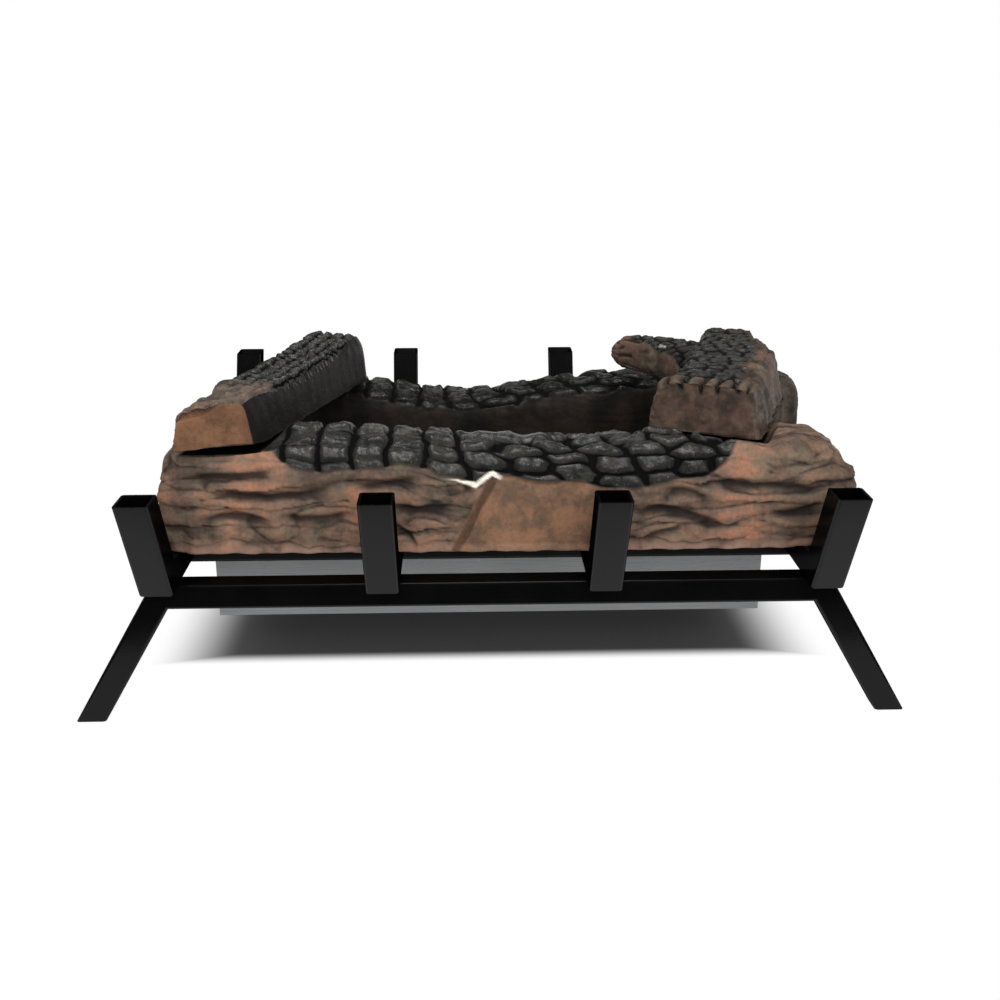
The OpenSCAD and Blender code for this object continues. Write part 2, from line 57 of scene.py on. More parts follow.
def scatter(i, j, k, seed):
    # a repeatable number from 0 to 1 for each whole-number place i, j, k
    i, j, k = (np.asarray(n).astype(np.int64) for n in (i, j, k))
    h = (i * 374761393 + j * 668265263 + k * 1440662683 + seed * 974711) & 0xFFFFFFFF
    h = ((h ^ (h >> 13)) * 1274126177) & 0xFFFFFFFF
    h = ((h ^ (h >> 16)) * 2246822519) & 0xFFFFFFFF
    return ((h ^ (h >> 15)) & 0xFFFFFF) / float(0x1000000)


def swirl(x, y, z, seed, size=1):
    # gradient noise, about -0.7 to 0.7, with lumps of the given size: a slope drawn at each corner of a
    # lattice, blended by a quintic; each use has a seed of its own
    x, y, z = np.broadcast_arrays(x / size, y / size, z / size)
    ix, iy, iz = np.floor(x), np.floor(y), np.floor(z)
    fx, fy, fz = x - ix, y - iy, z - iz
    ux, uy, uz = (f * f * f * (f * (f * 6 - 15) + 10) for f in (fx, fy, fz))
    total = np.zeros(x.shape)
    for cx in (0, 1):
        for cy in (0, 1):
            for cz in (0, 1):
                turn = 2 * math.pi * scatter(ix + cx, iy + cy, iz + cz, seed)
                rise = 2 * scatter(ix + cx, iy + cy, iz + cz, seed + 71) - 1
                flat = np.sqrt(1 - rise * rise)
                slope = (np.cos(turn) * flat * (fx - cx) + np.sin(turn) * flat * (fy - cy)
                         + rise * (fz - cz))
                weight = ((ux if cx else 1 - ux) * (uy if cy else 1 - uy) * (uz if cz else 1 - uz))
                total += weight * slope
    return total


def cells(u, v, seed, wander, stagger):
    # irregular cobbles on a grid of jittered middles, each column of which starts at its own height;
    # returns the distance to the nearest crack, the place inside the cobble and its own random numbers
    column = np.floor(u)
    near = np.full(u.shape, 9.0)
    second = near.copy()
    best = [np.zeros(u.shape) for _ in range(4)]
    for i in (-1, 0, 1):
        c = column + i
        start = stagger * (scatter(c, 0, 0, seed) - 0.5)
        row = np.floor(v - start)
        for j in (-1, 0, 1):
            r = row + j
            du = u - c - 0.5 - wander * (scatter(c, r, 0, seed + 1) - 0.5)
            dv = v - start - r - 0.5 - wander * (scatter(c, r, 0, seed + 2) - 0.5)
            away = (np.abs(du) ** 3 + np.abs(dv) ** 3) ** (1 / 3)
            closer = away < near
            second = np.where(closer, near, np.minimum(second, away))
            near = np.where(closer, away, near)
            best = [np.where(closer, new, old) for new, old in zip((du, dv, c, r), best)]
    du, dv, c, r = best
    numbers = [scatter(c, r, 0, seed + 3 + n) for n in range(3)]
    return second - near, du, dv, numbers


def barkRolls(s, y, z, seed, pitch, stretch):
    # long rounded rolls with sharp grooves between: the size of a noise drawn out along the log
    p, q, r = s / stretch, y / pitch, z / pitch
    bend = swirl(p * 1.7, q * 0.35, r * 0.35, seed + 1)
    bend2 = swirl(p * 4.0, q * 0.8, r * 0.8, seed + 2)
    q2, r2 = q + 1.3 * bend + 0.25 * bend2, r + 1.3 * bend + 0.25 * bend2
    main = np.abs(swirl(p, q2, r2, seed + 3))
    second = np.abs(swirl(p * 2.6, q2 * 2.1, r2 * 2.1, seed + 4))
    third = np.abs(swirl(p * 7, q2 * 3.6, r2 * 3.6, seed + 5))
    fine = swirl(s / 7, y / 2.6, z / 2.6, seed + 6)
    rolls = np.clip(main / 0.3, 0, 1) ** 0.7
    rolls = 0.64 * rolls + 0.22 * np.clip(second / 0.26, 0, 1) + 0.14 * np.clip(third / 0.22, 0, 1)
    return np.clip(rolls + 0.10 * fine, 0, 1)


# Shapes carried along a path

def sinDegrees(a):
    return np.sin(np.radians(a))


def cosDegrees(a):
    return np.cos(np.radians(a))


def signedPower(v, p):
    return np.sign(v) * np.abs(v) ** p


def lumps(s, t):
    # the low swells of a moulded log: s in mm along it, t round it in degrees
    return 0.6 * sinDegrees(9 * s + 3 * t) * cosDegrees(2 * t) + 0.4 * sinDegrees(17 * s - 2 * t)


def evenAngles(count, half, high, low, power, floorZ):
    # angles round a section at even steps of its edge, with wide steps along the flat base,
    # and how far each of them is from the middle of the top
    quarter = np.linspace(0, 4, 8001)
    part = quarter - np.floor(quarter)
    t = 90 * (np.floor(quarter) + part ** 4 / (part ** 4 + (1 - part) ** 4)) - 90
    y = half * signedPower(cosDegrees(t), power)
    z = (high + low) / 2 + (high - low) / 2 * signedPower(sinDegrees(t), power)
    step = np.hypot(np.diff(y), np.diff(z)) * np.where(z[1:] < floorZ - 0.5, 0.3, 1.0)
    arc = np.concatenate([[0], np.cumsum(step)])
    at = np.arange(count) / count * arc[-1]
    return np.interp(at, arc, t), at - np.interp(90, t, arc)


def carry(station, t, power, floorZ, lump, draft=0.0):
    # a superellipse at each station, leaned by skew, its top falling to one side by slope and
    # narrowed by the draft, cut flat below floorZ; a station that gives no turn, skew or slope has none
    c = {"turn": 0.0, "skew": 0.0, "slope": 0.0}
    c.update((key, np.asarray(value, float)[:, None]) for key, value in station.items())
    t = t[None, :]
    swell = lump * lumps(c["along"], t)
    across = signedPower(cosDegrees(t), power)
    upward = signedPower(sinDegrees(t), power)
    z = (c["high"] + c["low"]) / 2 + ((c["high"] - c["low"]) / 2 + swell) * upward
    z = z * (1 + c["slope"] * across)
    side = (c["half"] + swell) * across * (1 - draft * np.clip(z, 0, None) / c["high"])
    forward = c["skew"] * side
    h = c["turn"]
    x = c["x"] + forward * np.cos(h) - side * np.sin(h)
    y = c["y"] + forward * np.sin(h) + side * np.cos(h)
    return np.stack([x, y, np.maximum(z, floorZ)], -1)


def middleOf(ring):
    return (ring.max(0) + ring.min(0)) / 2


def closeEnds(rings, steps):
    # both ends are closed by copies of the last ring that shrink evenly to a pole
    def shrink(ring, q):
        return middleOf(ring) + q[:, None, None] * (ring - middleOf(ring))
    q = np.linspace(0, 1, steps + 1)[1:-1]
    return np.concatenate([shrink(rings[0], q), rings, shrink(rings[-1], q[::-1])])


def gridFaces(rows, columns):
    # quads between neighbouring rows, closed round, and a fan to a pole at each end
    grid = np.arange(rows * columns).reshape(rows, columns)
    turned = np.roll(grid, -1, 1)
    quads = np.stack([grid[:-1], turned[:-1], turned[1:], grid[1:]], -1).reshape(-1, 4)
    pole = np.full(columns, rows * columns)
    fans = np.concatenate([np.stack([turned[0], grid[0], pole], -1),
                           np.stack([grid[-1], turned[-1], pole + 1], -1)])
    return quads, fans


def vertexNormals(points, quads, fans):
    # the sum, at its corners, of the crossed diagonals of each quad and the crossed sides of each triangle
    normals = np.zeros_like(points)
    for faces, (a, b, c, d) in ((quads, (0, 2, 1, 3)), (fans, (0, 1, 0, 2))):
        corners = points[faces]
        cross = np.cross(corners[:, b] - corners[:, a], corners[:, d] - corners[:, c])
        for k in range(faces.shape[1]):
            np.add.at(normals, faces[:, k], cross)
    return normals / np.maximum(np.linalg.norm(normals, axis=1, keepdims=True), 1e-12)


def makeMesh(name, shells, marks, material):
    # shells: (points, quads, fans) in mm; marks: one value per vertex for each named attribute
    points = np.concatenate([shell[0] for shell in shells]) * mm
    starts = np.cumsum([0] + [len(shell[0]) for shell in shells])
    quads, fans = (np.concatenate([shell[k] + start for shell, start in zip(shells, starts)])
                   for k in (1, 2))
    mesh = bpy.data.meshes.new(name)
    mesh.from_pydata(points.tolist(), [], quads.tolist() + fans.tolist())
    mesh.shade_smooth()
    for markName, values in marks.items():
        attribute = mesh.attributes.new(markName, "FLOAT", "POINT")
        attribute.data.foreach_set("value", values.astype(np.float32))
    mesh.materials.append(material)
    mesh.validate()
    piece = bpy.data.objects.new(name, mesh)
    bpy.context.scene.collection.objects.link(piece)
    return piece


def perPoint(rowValues, columns, endSteps):
    # a value per row laid out per point: both ends repeated for the rows that close them, then the poles
    more = np.ones(endSteps - 1)
    rows = np.concatenate([more * rowValues[0], rowValues, more * rowValues[-1]])
    return np.concatenate([np.repeat(rows, columns), rows[[0, -1]]])


def perColumn(columnValues, rows):
    return np.concatenate([np.tile(columnValues, rows), columnValues[[0, 0]]])


def skin(rings, around, endSteps):
    # the closed surface over rings: points, normals, faces, the place of each point round its section,
    # and 1 on the points that close the first end and the last
    rows, columns = rings.shape[:2]
    points = np.concatenate([rings.reshape(-1, 3), [middleOf(rings[0]), middleOf(rings[-1])]])
    faces = gridFaces(rows, columns)
    row = np.concatenate([np.repeat(np.arange(rows), columns), [0, rows - 1]])
    return (points, vertexNormals(points, *faces), faces, perColumn(around, rows),
            (row < endSteps - 1).astype(float), (row > rows - endSteps).astype(float))


# Materials

def emptyTree(owner, output):
    # turns on the nodes of a material or world and leaves it only an output
    owner.use_nodes = True
    tree = owner.node_tree
    tree.nodes.clear()
    return tree, tree.nodes.new(output)


def newMaterial(name):
    material = bpy.data.materials.new(name)
    tree, output = emptyTree(material, "ShaderNodeOutputMaterial")
    shader = tree.nodes.new("ShaderNodeBsdfPrincipled")
    tree.links.new(shader.outputs[0], output.inputs["Surface"])
    return material, tree, shader


def feed(tree, node, values):
    # an output is linked to the named input, anything else becomes its value
    for key, value in values.items():
        if isinstance(value, bpy.types.NodeSocket):
            tree.links.new(value, node.inputs[key])
        else:
            node.inputs[key].default_value = value


def put(tree, kind, values=None, **settings):
    node = tree.nodes.new("ShaderNode" + kind)
    for key, value in settings.items():
        setattr(node, key, value)
    feed(tree, node, values or {})
    return node


def maths(tree, operation, a, b=0.0):
    return put(tree, "Math", {0: a, 1: b}, operation=operation).outputs[0]


def mixValue(tree, share, a, b):
    return put(tree, "Mix", {0: share, 2: a, 3: b}, data_type="FLOAT").outputs[0]


def mixColour(tree, share, a, b):
    return put(tree, "Mix", {0: share, 6: a, 7: b}, data_type="RGBA").outputs[2]


def mixShader(tree, share, a, b):
    return put(tree, "MixShader", {0: share, 1: a, 2: b}).outputs[0]


def ramp(tree, factor, stops):
    node = put(tree, "ValToRGB", {0: factor})
    while len(node.color_ramp.elements) < len(stops):
        node.color_ramp.elements.new(0.5)
    for element, (place, colour) in zip(node.color_ramp.elements, stops):
        element.position = place
        element.color = colour
    return node.outputs[0]


def step(tree, value, low, high, toLow=0.0, toHigh=1.0):
    # toLow where the value is below low, toHigh where it is above high, smooth between
    return put(tree, "MapRange", {"Value": value, "From Min": low, "From Max": high, "To Min": toLow,
                                  "To Max": toHigh}, interpolation_type="SMOOTHSTEP").outputs["Result"]


def tint(tree, under, over, value, *stepping):
    # one colour laid over another where a value steps up or down
    return mixColour(tree, step(tree, value, *stepping), under, over)


def bump(tree, height, strength, distance, **under):
    values = {"Height": height, "Strength": strength, "Distance": distance, **under}
    return put(tree, "Bump", values).outputs[0]


def srgb(r, g, b):
    # a colour as the photo shows it, 0 to 255, in linear light
    def one(c):
        c = c / 255
        return c / 12.92 if c <= 0.04045 else ((c + 0.055) / 1.055) ** 2.4
    return (one(r), one(g), one(b), 1.0)


def mark(tree, name):
    return put(tree, "Attribute", attribute_name=name, attribute_type="GEOMETRY").outputs["Fac"]


def noise(tree, coordinates, scale, detail, roughness):
    node = put(tree, "TexNoise", {"Vector": coordinates, "Scale": scale, "Detail": detail,
                                  "Roughness": roughness})
    return node.outputs["Fac"]


# bark colours; the groove and crack colours also serve as painted shade, and the near-white and pale grey
# ones as a painted highlight and painted glints
barkLook = {
    "rollLow": srgb(86, 71, 60), "rollMid": srgb(120, 95, 79), "rollHigh": srgb(154, 109, 85),
    "dusty": srgb(108, 99, 82), "groove": srgb(30, 23, 21), "cutLow": srgb(102, 80, 64),
    "cutHigh": srgb(138, 102, 78), "crack": srgb(12, 12, 12), "char": srgb(37, 37, 35),
    "charTop": srgb(52, 51, 47), "sideChar": srgb(34, 31, 30), "charWarm": srgb(58, 53, 46),
    "ash": srgb(232, 226, 214), "ember": srgb(120, 118, 110),
    "barkGloss": 0.2, "charGloss": 0.42, "crackGloss": 0.04, "flatShare": 0.06,
    "barkRoughness": (0.42, 0.62), "charRoughness": (0.21, 0.38), "crackRoughness": 0.8,
}


# scale per metre, detail and roughness of the logs' noises
textures = {"broad": (24.0, 5.0, 0.62), "patches": (60.0, 4.0, 0.6), "knobs": (140.0, 3.0, 0.5),
            "grain": (320.0, 6.0, 0.65), "specks": (520.0, 2.0, 0.5)}


def logMaterial(name, look):
    # bark, char, cut faces and pale marks, a chip on the branch log and a painted highlight on the front
    # log, told apart by the marks on the mesh (0 where a piece has none) and varied by noise; painted shade
    # darkens grooves and char cracks, and painted glints fleck the char
    material, tree, shader = newMaterial(name)
    here = put(tree, "TexCoord").outputs["Object"]
    relief, char, cut, ash, flat = (mark(tree, n) for n in ("relief", "char", "cut", "ash", "flatChar"))
    broad, patches, knobs, grain, specks = (noise(tree, here, *values) for values in textures.values())
    # random tone, plus a painted highlight: where the relief mark is high, on the ridges, the bark leans
    # toward its palest colour
    warm = maths(tree, "ADD", broad, step(tree, relief, 0.3, 1.0, -0.06, 0.05))
    bark = ramp(tree, warm, [(0.38, look["rollLow"]), (0.5, look["rollMid"]), (0.62, look["rollHigh"])])
    bark = tint(tree, bark, look["dusty"], patches, 0.5, 0.66, 0.0, 0.58)
    # painted shade: the bark darkens toward the groove colour where its relief mark is low, in grooves,
    # furrows, creases and under overhanging plates
    bark = tint(tree, bark, look["groove"], relief, 0.0, 0.42, 0.95, 0.0)
    bark = tint(tree, bark, look["groove"], grain, 0.4, 0.75, 0.0, 0.3)
    if "rim" in look:
        # paler near the base
        height = put(tree, "SeparateXYZ", {0: here}).outputs["Z"]
        pale = maths(tree, "MULTIPLY", step(tree, height, 0.141, 0.152, 0.7, 0.0),
                     step(tree, patches, 0.3, 0.6))
        bark = mixColour(tree, pale, bark, look["rim"])
    sawn = tint(tree, look["cutLow"], look["cutHigh"], patches, 0.35, 0.65)
    sawn = tint(tree, sawn, look["groove"], grain, 0.42, 0.72, 0.0, 0.25)
    # painted shade: the sawn faces darken toward the groove colour where their relief mark is low, on
    # bevels and ledges
    sawn = tint(tree, sawn, look["groove"], relief, 0.4, 0.8, 0.55, 0.0)
    coal = tint(tree, look["char"], look["charTop"], patches, 0.4, 0.65)
    coal = tint(tree, coal, look["charWarm"], grain, 0.5, 0.75, 0.0, 0.4)
    # painted glints: pale grey specks on the crests of the char stand in for tiny highlights
    paintedGlints = maths(tree, "MULTIPLY", step(tree, specks, 0.62, 0.7, 0.0, 0.45), step(tree, relief, 0.5, 0.8))
    coal = mixColour(tree, paintedGlints, coal, look["ember"])
    # painted shade: the char turns to the near-black crack colour where its relief mark is low, between the
    # lumps
    crackHere = step(tree, relief, 0.12, 0.55, 1.0, 0.0)
    coal = mixColour(tree, crackHere, coal, look["crack"])
    coal = mixColour(tree, flat, coal, look["sideChar"])
    body = mixColour(tree, char, mixColour(tree, cut, bark, sawn), coal)
    rough = mixValue(tree, char, step(tree, grain, 0.3, 0.7, *look["barkRoughness"]),
                     step(tree, grain, 0.3, 0.7, *look["charRoughness"]))
    inCrack = maths(tree, "MULTIPLY", crackHere, char)
    shine = maths(tree, "MULTIPLY", step(tree, inCrack, 0.0, 1.0, look["charGloss"], look["crackGloss"]),
                  step(tree, flat, 0.0, 1.0, 1.0, look["flatShare"]))
    knobby = bump(tree, knobs, step(tree, char, 0.0, 1.0, 0.5, 0.3), 0.0012)
    feed(tree, shader, {
        # painted highlight on the front log and a pale chip on the branch log: the near-white colour where
        # their mark is set
        "Base Color": mixColour(tree, ash, body, look["ash"]),
        "Roughness": mixValue(tree, inCrack, rough, look["crackRoughness"]),
        "Specular IOR Level": mixValue(tree, char, look["barkGloss"], shine),
        "Normal": bump(tree, grain, step(tree, char, 0.0, 1.0, 0.35, 0.6), 0.0008, Normal=knobby),
    })
    return material


def powderCoat():
    # satin black powder coat with its faint orange peel, dull where it is seen at a slant
    material, tree, shader = newMaterial("blackPowderCoat")
    here = put(tree, "TexCoord").outputs["Object"]
    cloud = noise(tree, here, 30.0, 3.0, 0.5)
    facing = put(tree, "LayerWeight", {"Blend": 0.5}).outputs["Facing"]
    feed(tree, shader, {
        "Base Color": mixColour(tree, cloud, srgb(5, 5, 5), srgb(9, 9, 9)),
        "Roughness": step(tree, cloud, 0.3, 0.7, 0.2, 0.25),
        "Specular IOR Level": step(tree, facing, 0.35, 0.78, 0.22, 0.0),
        "Normal": bump(tree, noise(tree, here, 900.0, 2.0, 0.5), 0.12, 0.0002),
    })
    return material


def brushedSteel(name, colour, lines, roughness):
    # fine brushing drawn out along X, with a little cloudiness
    material, tree, shader = newMaterial(name)
    here = put(tree, "TexCoord").outputs["Object"]
    brush = noise(tree, put(tree, "Mapping", {"Vector": here, "Scale": lines}).outputs[0], 1.0, 5.0, 0.7)
    cloud = noise(tree, here, 14.0, 3.0, 0.5)
    dark = tuple(c * 0.72 for c in colour[:3]) + (1.0,)
    feed(tree, shader, {
        "Base Color": tint(tree, dark, colour, brush, 0.3, 0.7),
        "Roughness": maths(tree, "ADD", step(tree, brush, 0.3, 0.7, roughness - 0.08, roughness + 0.08),
                           step(tree, cloud, 0.3, 0.7, -0.04, 0.04)),
        "Metallic": 0.75,
        "Normal": bump(tree, brush, 0.15, 0.0001),
    })
    return material


def woolMaterial():
    # matted white fibre
    material, tree, shader = newMaterial("ceramicWool")
    here = put(tree, "TexCoord").outputs["Object"]
    drawnOut = put(tree, "Mapping", {"Vector": here, "Scale": (260, 900, 700)}).outputs[0]
    fibre = noise(tree, drawnOut, 1.0, 6.0, 0.75)
    feed(tree, shader, {
        "Base Color": mixColour(tree, fibre, srgb(196, 190, 178), srgb(240, 237, 228)),
        "Roughness": 0.95,
        "Normal": bump(tree, fibre, 0.8, 0.0015),
    })
    return material


coat = powderCoat()
sheet = brushedSteel("brushedSteel", srgb(156, 157, 158), (18, 900, 1400), 0.34)
turned = brushedSteel("turnedSteel", srgb(190, 191, 192), (60, 60, 2600), 0.24)
finishes = {"left_knob": turned, "right_knob": turned, "ceramic_wool": woolMaterial()}
for nodeName in ("burner_body", "burner_top_plate", "fuel_tank", "wool_screen", "front_guide",
                 "rear_guide", "guide_rivets", "left_shutter", "right_shutter"):
    finishes[nodeName] = sheet
for nodeName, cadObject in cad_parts.items():
    for slot in cadObject.material_slots:
        slot.material = finishes.get(nodeName, coat)
print("grate: materials on the CAD nodes")

# The grate's own sizes, as in the part's source

grate = {"barTop": 140.0, "logGap": 0.3, "postInY": 199.7, "postGap": 2.0}
logBase = grate["barTop"] + grate["logGap"]


def roundEnd(v):
    return 1 - 0.2 * np.abs(v) ** 24


def sawnEnd(v):
    return 1 - 0.1 * np.abs(v) ** 24


def sag(x, depth, middle, width):
    # how far the top of a log hangs through
    return depth * np.exp(-((x - middle) / width) ** 2)


def alongRows(length, spacing):
    # even steps from -1 to 1
    return np.linspace(-1, 1, int(length / spacing) + 1)


# Main relief of the front and rear logs, as in the part's source: 0 on ridges, 1 in grooves

relief = {"depth": 3.5, "barkPitch": 27.0, "crackPitch": 26.0, "furrowAbove": 2.2, "furrowBelow": 7.5}
# start, end, height at the start, height at the end, bow, as shares of half length and height
furrows = (
    (-0.93, -0.65, 0.70, 0.73, 0), (-0.85, -0.49, 0.57, 0.61, -0.07), (-0.45, -0.25, 0.60, 0.67, -0.01),
    (-0.91, -0.66, 0.28, 0.26, 0.08), (-0.66, -0.44, 0.33, 0.36, -0.02), (-0.32, -0.16, 0.39, 0.42, 0),
    (-0.34, -0.27, 0.28, 0.08, 0), (0.43, 0.58, 0.53, 0.43, 0.05), (0.37, 0.62, 0.39, 0.19, 0.05),
    (0.55, 0.91, 0.62, 0.53, 0), (0.73, 0.89, 0.33, 0.41, -0.03), (0.36, 0.51, 0.08, 0.23, 0.01),
)


def barkRows(s, z):
    # wavy furrows round the back of a log
    wave = 55 * sinDegrees(2.1 * s + 20) + 45 * sinDegrees(3.7 * s + 2 * z)
    row = np.clip(sinDegrees(360 * z / relief["barkPitch"] + wave), 0, 1) ** 1.5
    return row * (0.55 + 0.45 * sinDegrees(4.6 * s + 5 * z + 40 * sinDegrees(1.3 * s)))


def frontFurrows(share, z, height):
    # the deepest furrow at each place: sharp above its line and sloping below it
    deepest = np.zeros_like(z)
    wander = 1.2 * swirl(share * 14, z / 12, 0, 17)
    for start, end, low, high, bow in furrows:
        u = (share - start) / (end - start)
        line = height * (low + (high - low) * u + 4 * bow * u * (1 - u)) + wander
        radius = np.where(z > line, relief["furrowAbove"], relief["furrowBelow"])
        reach = np.clip(6 * u * (1 - u), 0, 1)
        deepest = np.maximum(deepest, reach * np.exp(-((z - line) / radius) ** 2))
    return deepest


def plates(s, z, seed, pitch):
    # layers of bark like shingles: 0 on each one's lower edge, rising to 1 under the next one above
    bend = 0.75 * swirl(s / 75, z / 30, 0, seed) + 0.22 * swirl(s / 24, z / 12, 0, seed + 1)
    layer = z / pitch + bend + 0.05 * swirl(s / 7, z / 6, 0, seed + 2)
    strength = np.clip(0.62 + 1.5 * swirl(s / 60, z / 22, 0, seed + 3), 0.1, 1)
    return strength * (layer - np.floor(layer)) ** 1.7


def cobbles(s, around, seed):
    # cobbles of char: their gaps lie about where the source has its cracks, in even columns of steps
    # on the left and as larger, slanting lumps on the right; 1 on crests, 0 in cracks
    wild = smooth(-70, 50, s)
    pitch = relief["crackPitch"]
    bend = swirl(s / 34, around / 26, 0, seed)
    bend2 = swirl(s, around, 0, seed + 1, 13)
    u = (s - 0.36 * wild * around) / (pitch * (1 + 0.16 * wild))
    u = u + (0.16 + 0.24 * wild) * bend + 0.08 * bend2
    v = -np.minimum(around, pitch) / pitch - np.clip(around - pitch, 0, None) / 15.5
    v = v + (0.25 + 0.2 * wild) * swirl(s / 30, around / 24, 0, seed + 2) + 0.1 * bend2
    edge, du, dv, (lift, tiltU, tiltV) = cells(u, v, seed + 3, 0.36, 0.7)
    ragged = 0.09 * swirl(s, around, 0, seed + 9, 6)
    fromColumn = np.abs(u - np.round(u)) + ragged * 0.6
    columns = smooth(0.0, 0.16, fromColumn) * (0.5 + 0.5 * smooth(0.0, 0.2, edge + ragged))
    pillow = mix(columns, smooth(0.0, 0.36, edge + ragged), wild)
    dome = 0.62 + 0.38 * np.sqrt(np.clip((edge + 0.5 * ragged) / 0.62, 0, 1))
    pillow = pillow * mix(0.5 + 0.5 * dome, dome, wild)
    knob = (0.24 * swirl(s / 11, around / 9, 0, seed + 7) + 0.22 * swirl(s / 5, around / 4.4, 0, seed + 8)
            + 0.08 * swirl(s, around, 0, seed + 10, 2.9))
    crest = (0.72 + 0.22 * lift - (0.55 - 0.2 * wild) * dv
             + (0.5 * tiltU - 0.25) * du + (0.3 * tiltV - 0.15) * dv)
    return np.clip(pillow * (crest + knob), -0.05, 1.12)


def lowerRows(p):
    # the rows of a lower log from -1 to 1, their places, how its round ends narrow them, and the heights
    # of its lowest and highest edge
    v = alongRows(p["length"], p["spacing"])
    x = p["shift"] + v * p["length"] / 2
    k = roundEnd(v)
    high = logBase + p["height"] * (0.25 + 0.75 * k) - sag(x, *p["sag"])
    return v, x, k, logBase - p["undercut"] * k, high


def lowerSkin(p, middleY, x, k, low, high):
    # the surface of a lower log before its relief
    station = {"x": x, "y": np.full_like(x, middleY), "half": p["width"] / 2 * k, "low": low, "high": high,
               "along": x + p["patternShift"]}
    t, around = evenAngles(p["columns"], p["width"] / 2, logBase + p["height"], logBase - p["undercut"],
                           p["power"], logBase)
    rings = closeEnds(carry(station, t, p["power"], logBase, p["lump"]), p["endSteps"])
    return skin(rings, around, p["endSteps"])


def sinkLower(points, normals, depth):
    # sinks the surface of a lower log by its depth and keeps its flat base where it is
    sunk = points - normals * (depth * smooth(logBase + 0.2, logBase + 5, points[:, 2]))[:, None]
    sunk[:, 2] = np.clip(sunk[:, 2], logBase, None)
    return sunk


# Front log

frontLog = {
    "length": 525.0, "width": 88.0, "height": 88.0, "sag": (13.0, 50.0, 130.0), "shift": 13.5,
    "power": 0.66, "undercut": 24.0, "lump": 1.6, "spacing": 1.38, "columns": 218, "endSteps": 16,
    "patternShift": 0.0, "layer": 15.0, "endRise": 14.0, "endFall": 1.6, "faceY": (-165.0, -180.0),
    "charDepth": 5.6, "charRise": 1.5, "charEdge": (-1.2, 1.6), "fineBark": 1.3, "rolls": (14.0, 105.0),
    "plateDepth": 2.3, "platePitch": 15.0, "ashFrom": (-36.0, -24.0), "ashTo": (9.0, 4.0),
    "cutLow": -0.18, "cutHigh": -0.014, "cutRight": 0.3, "bevel": 0.034,
}
frontLogY = frontLog["width"] / 2 + grate["postGap"] - grate["postInY"]


def charEdgeHeight(x):
    # height of the lower edge of the char along the front log's face, from listed places
    places = [-172, -157, -145, -125, -100, -69, -46, -41, -26, -13, -1, 5, 33, 67, 80, 104, 120, 136,
              157, 164, 173, 180, 187]
    heights = [226, 212, 206, 204, 204, 208, 205, 200, 197, 194, 203, 200, 194, 194, 190, 188, 193, 196,
               197, 202, 209, 216, 226]
    return np.interp(x, places, heights, left=250, right=250)


def endShape(x, y, z):
    # how far the ends of the front log stand in: the left one leans, the right one is split in layers
    p = frontLog
    fromLeft = x - (p["shift"] - p["length"] / 2)
    fromRight = p["shift"] + p["length"] / 2 - x
    lean = 7 * smooth(182, 228, z) + 5 * smooth(168, 142, z) + 1.5 * swirl(y, z, 0, 3, 14)
    layer = (z + 0.12 * y + 3 * swirl(y / 24, z / 20, 0, 4)) / p["layer"]
    place = np.floor(layer)
    blend = smooth(0.8, 1.0, layer - place)
    inset = 7 * mix(scatter(place, 0, 0, 5), scatter(place + 1, 0, 0, 5), blend)
    return lean * smooth(26, 2, fromLeft), inset * smooth(30, 4, fromRight)


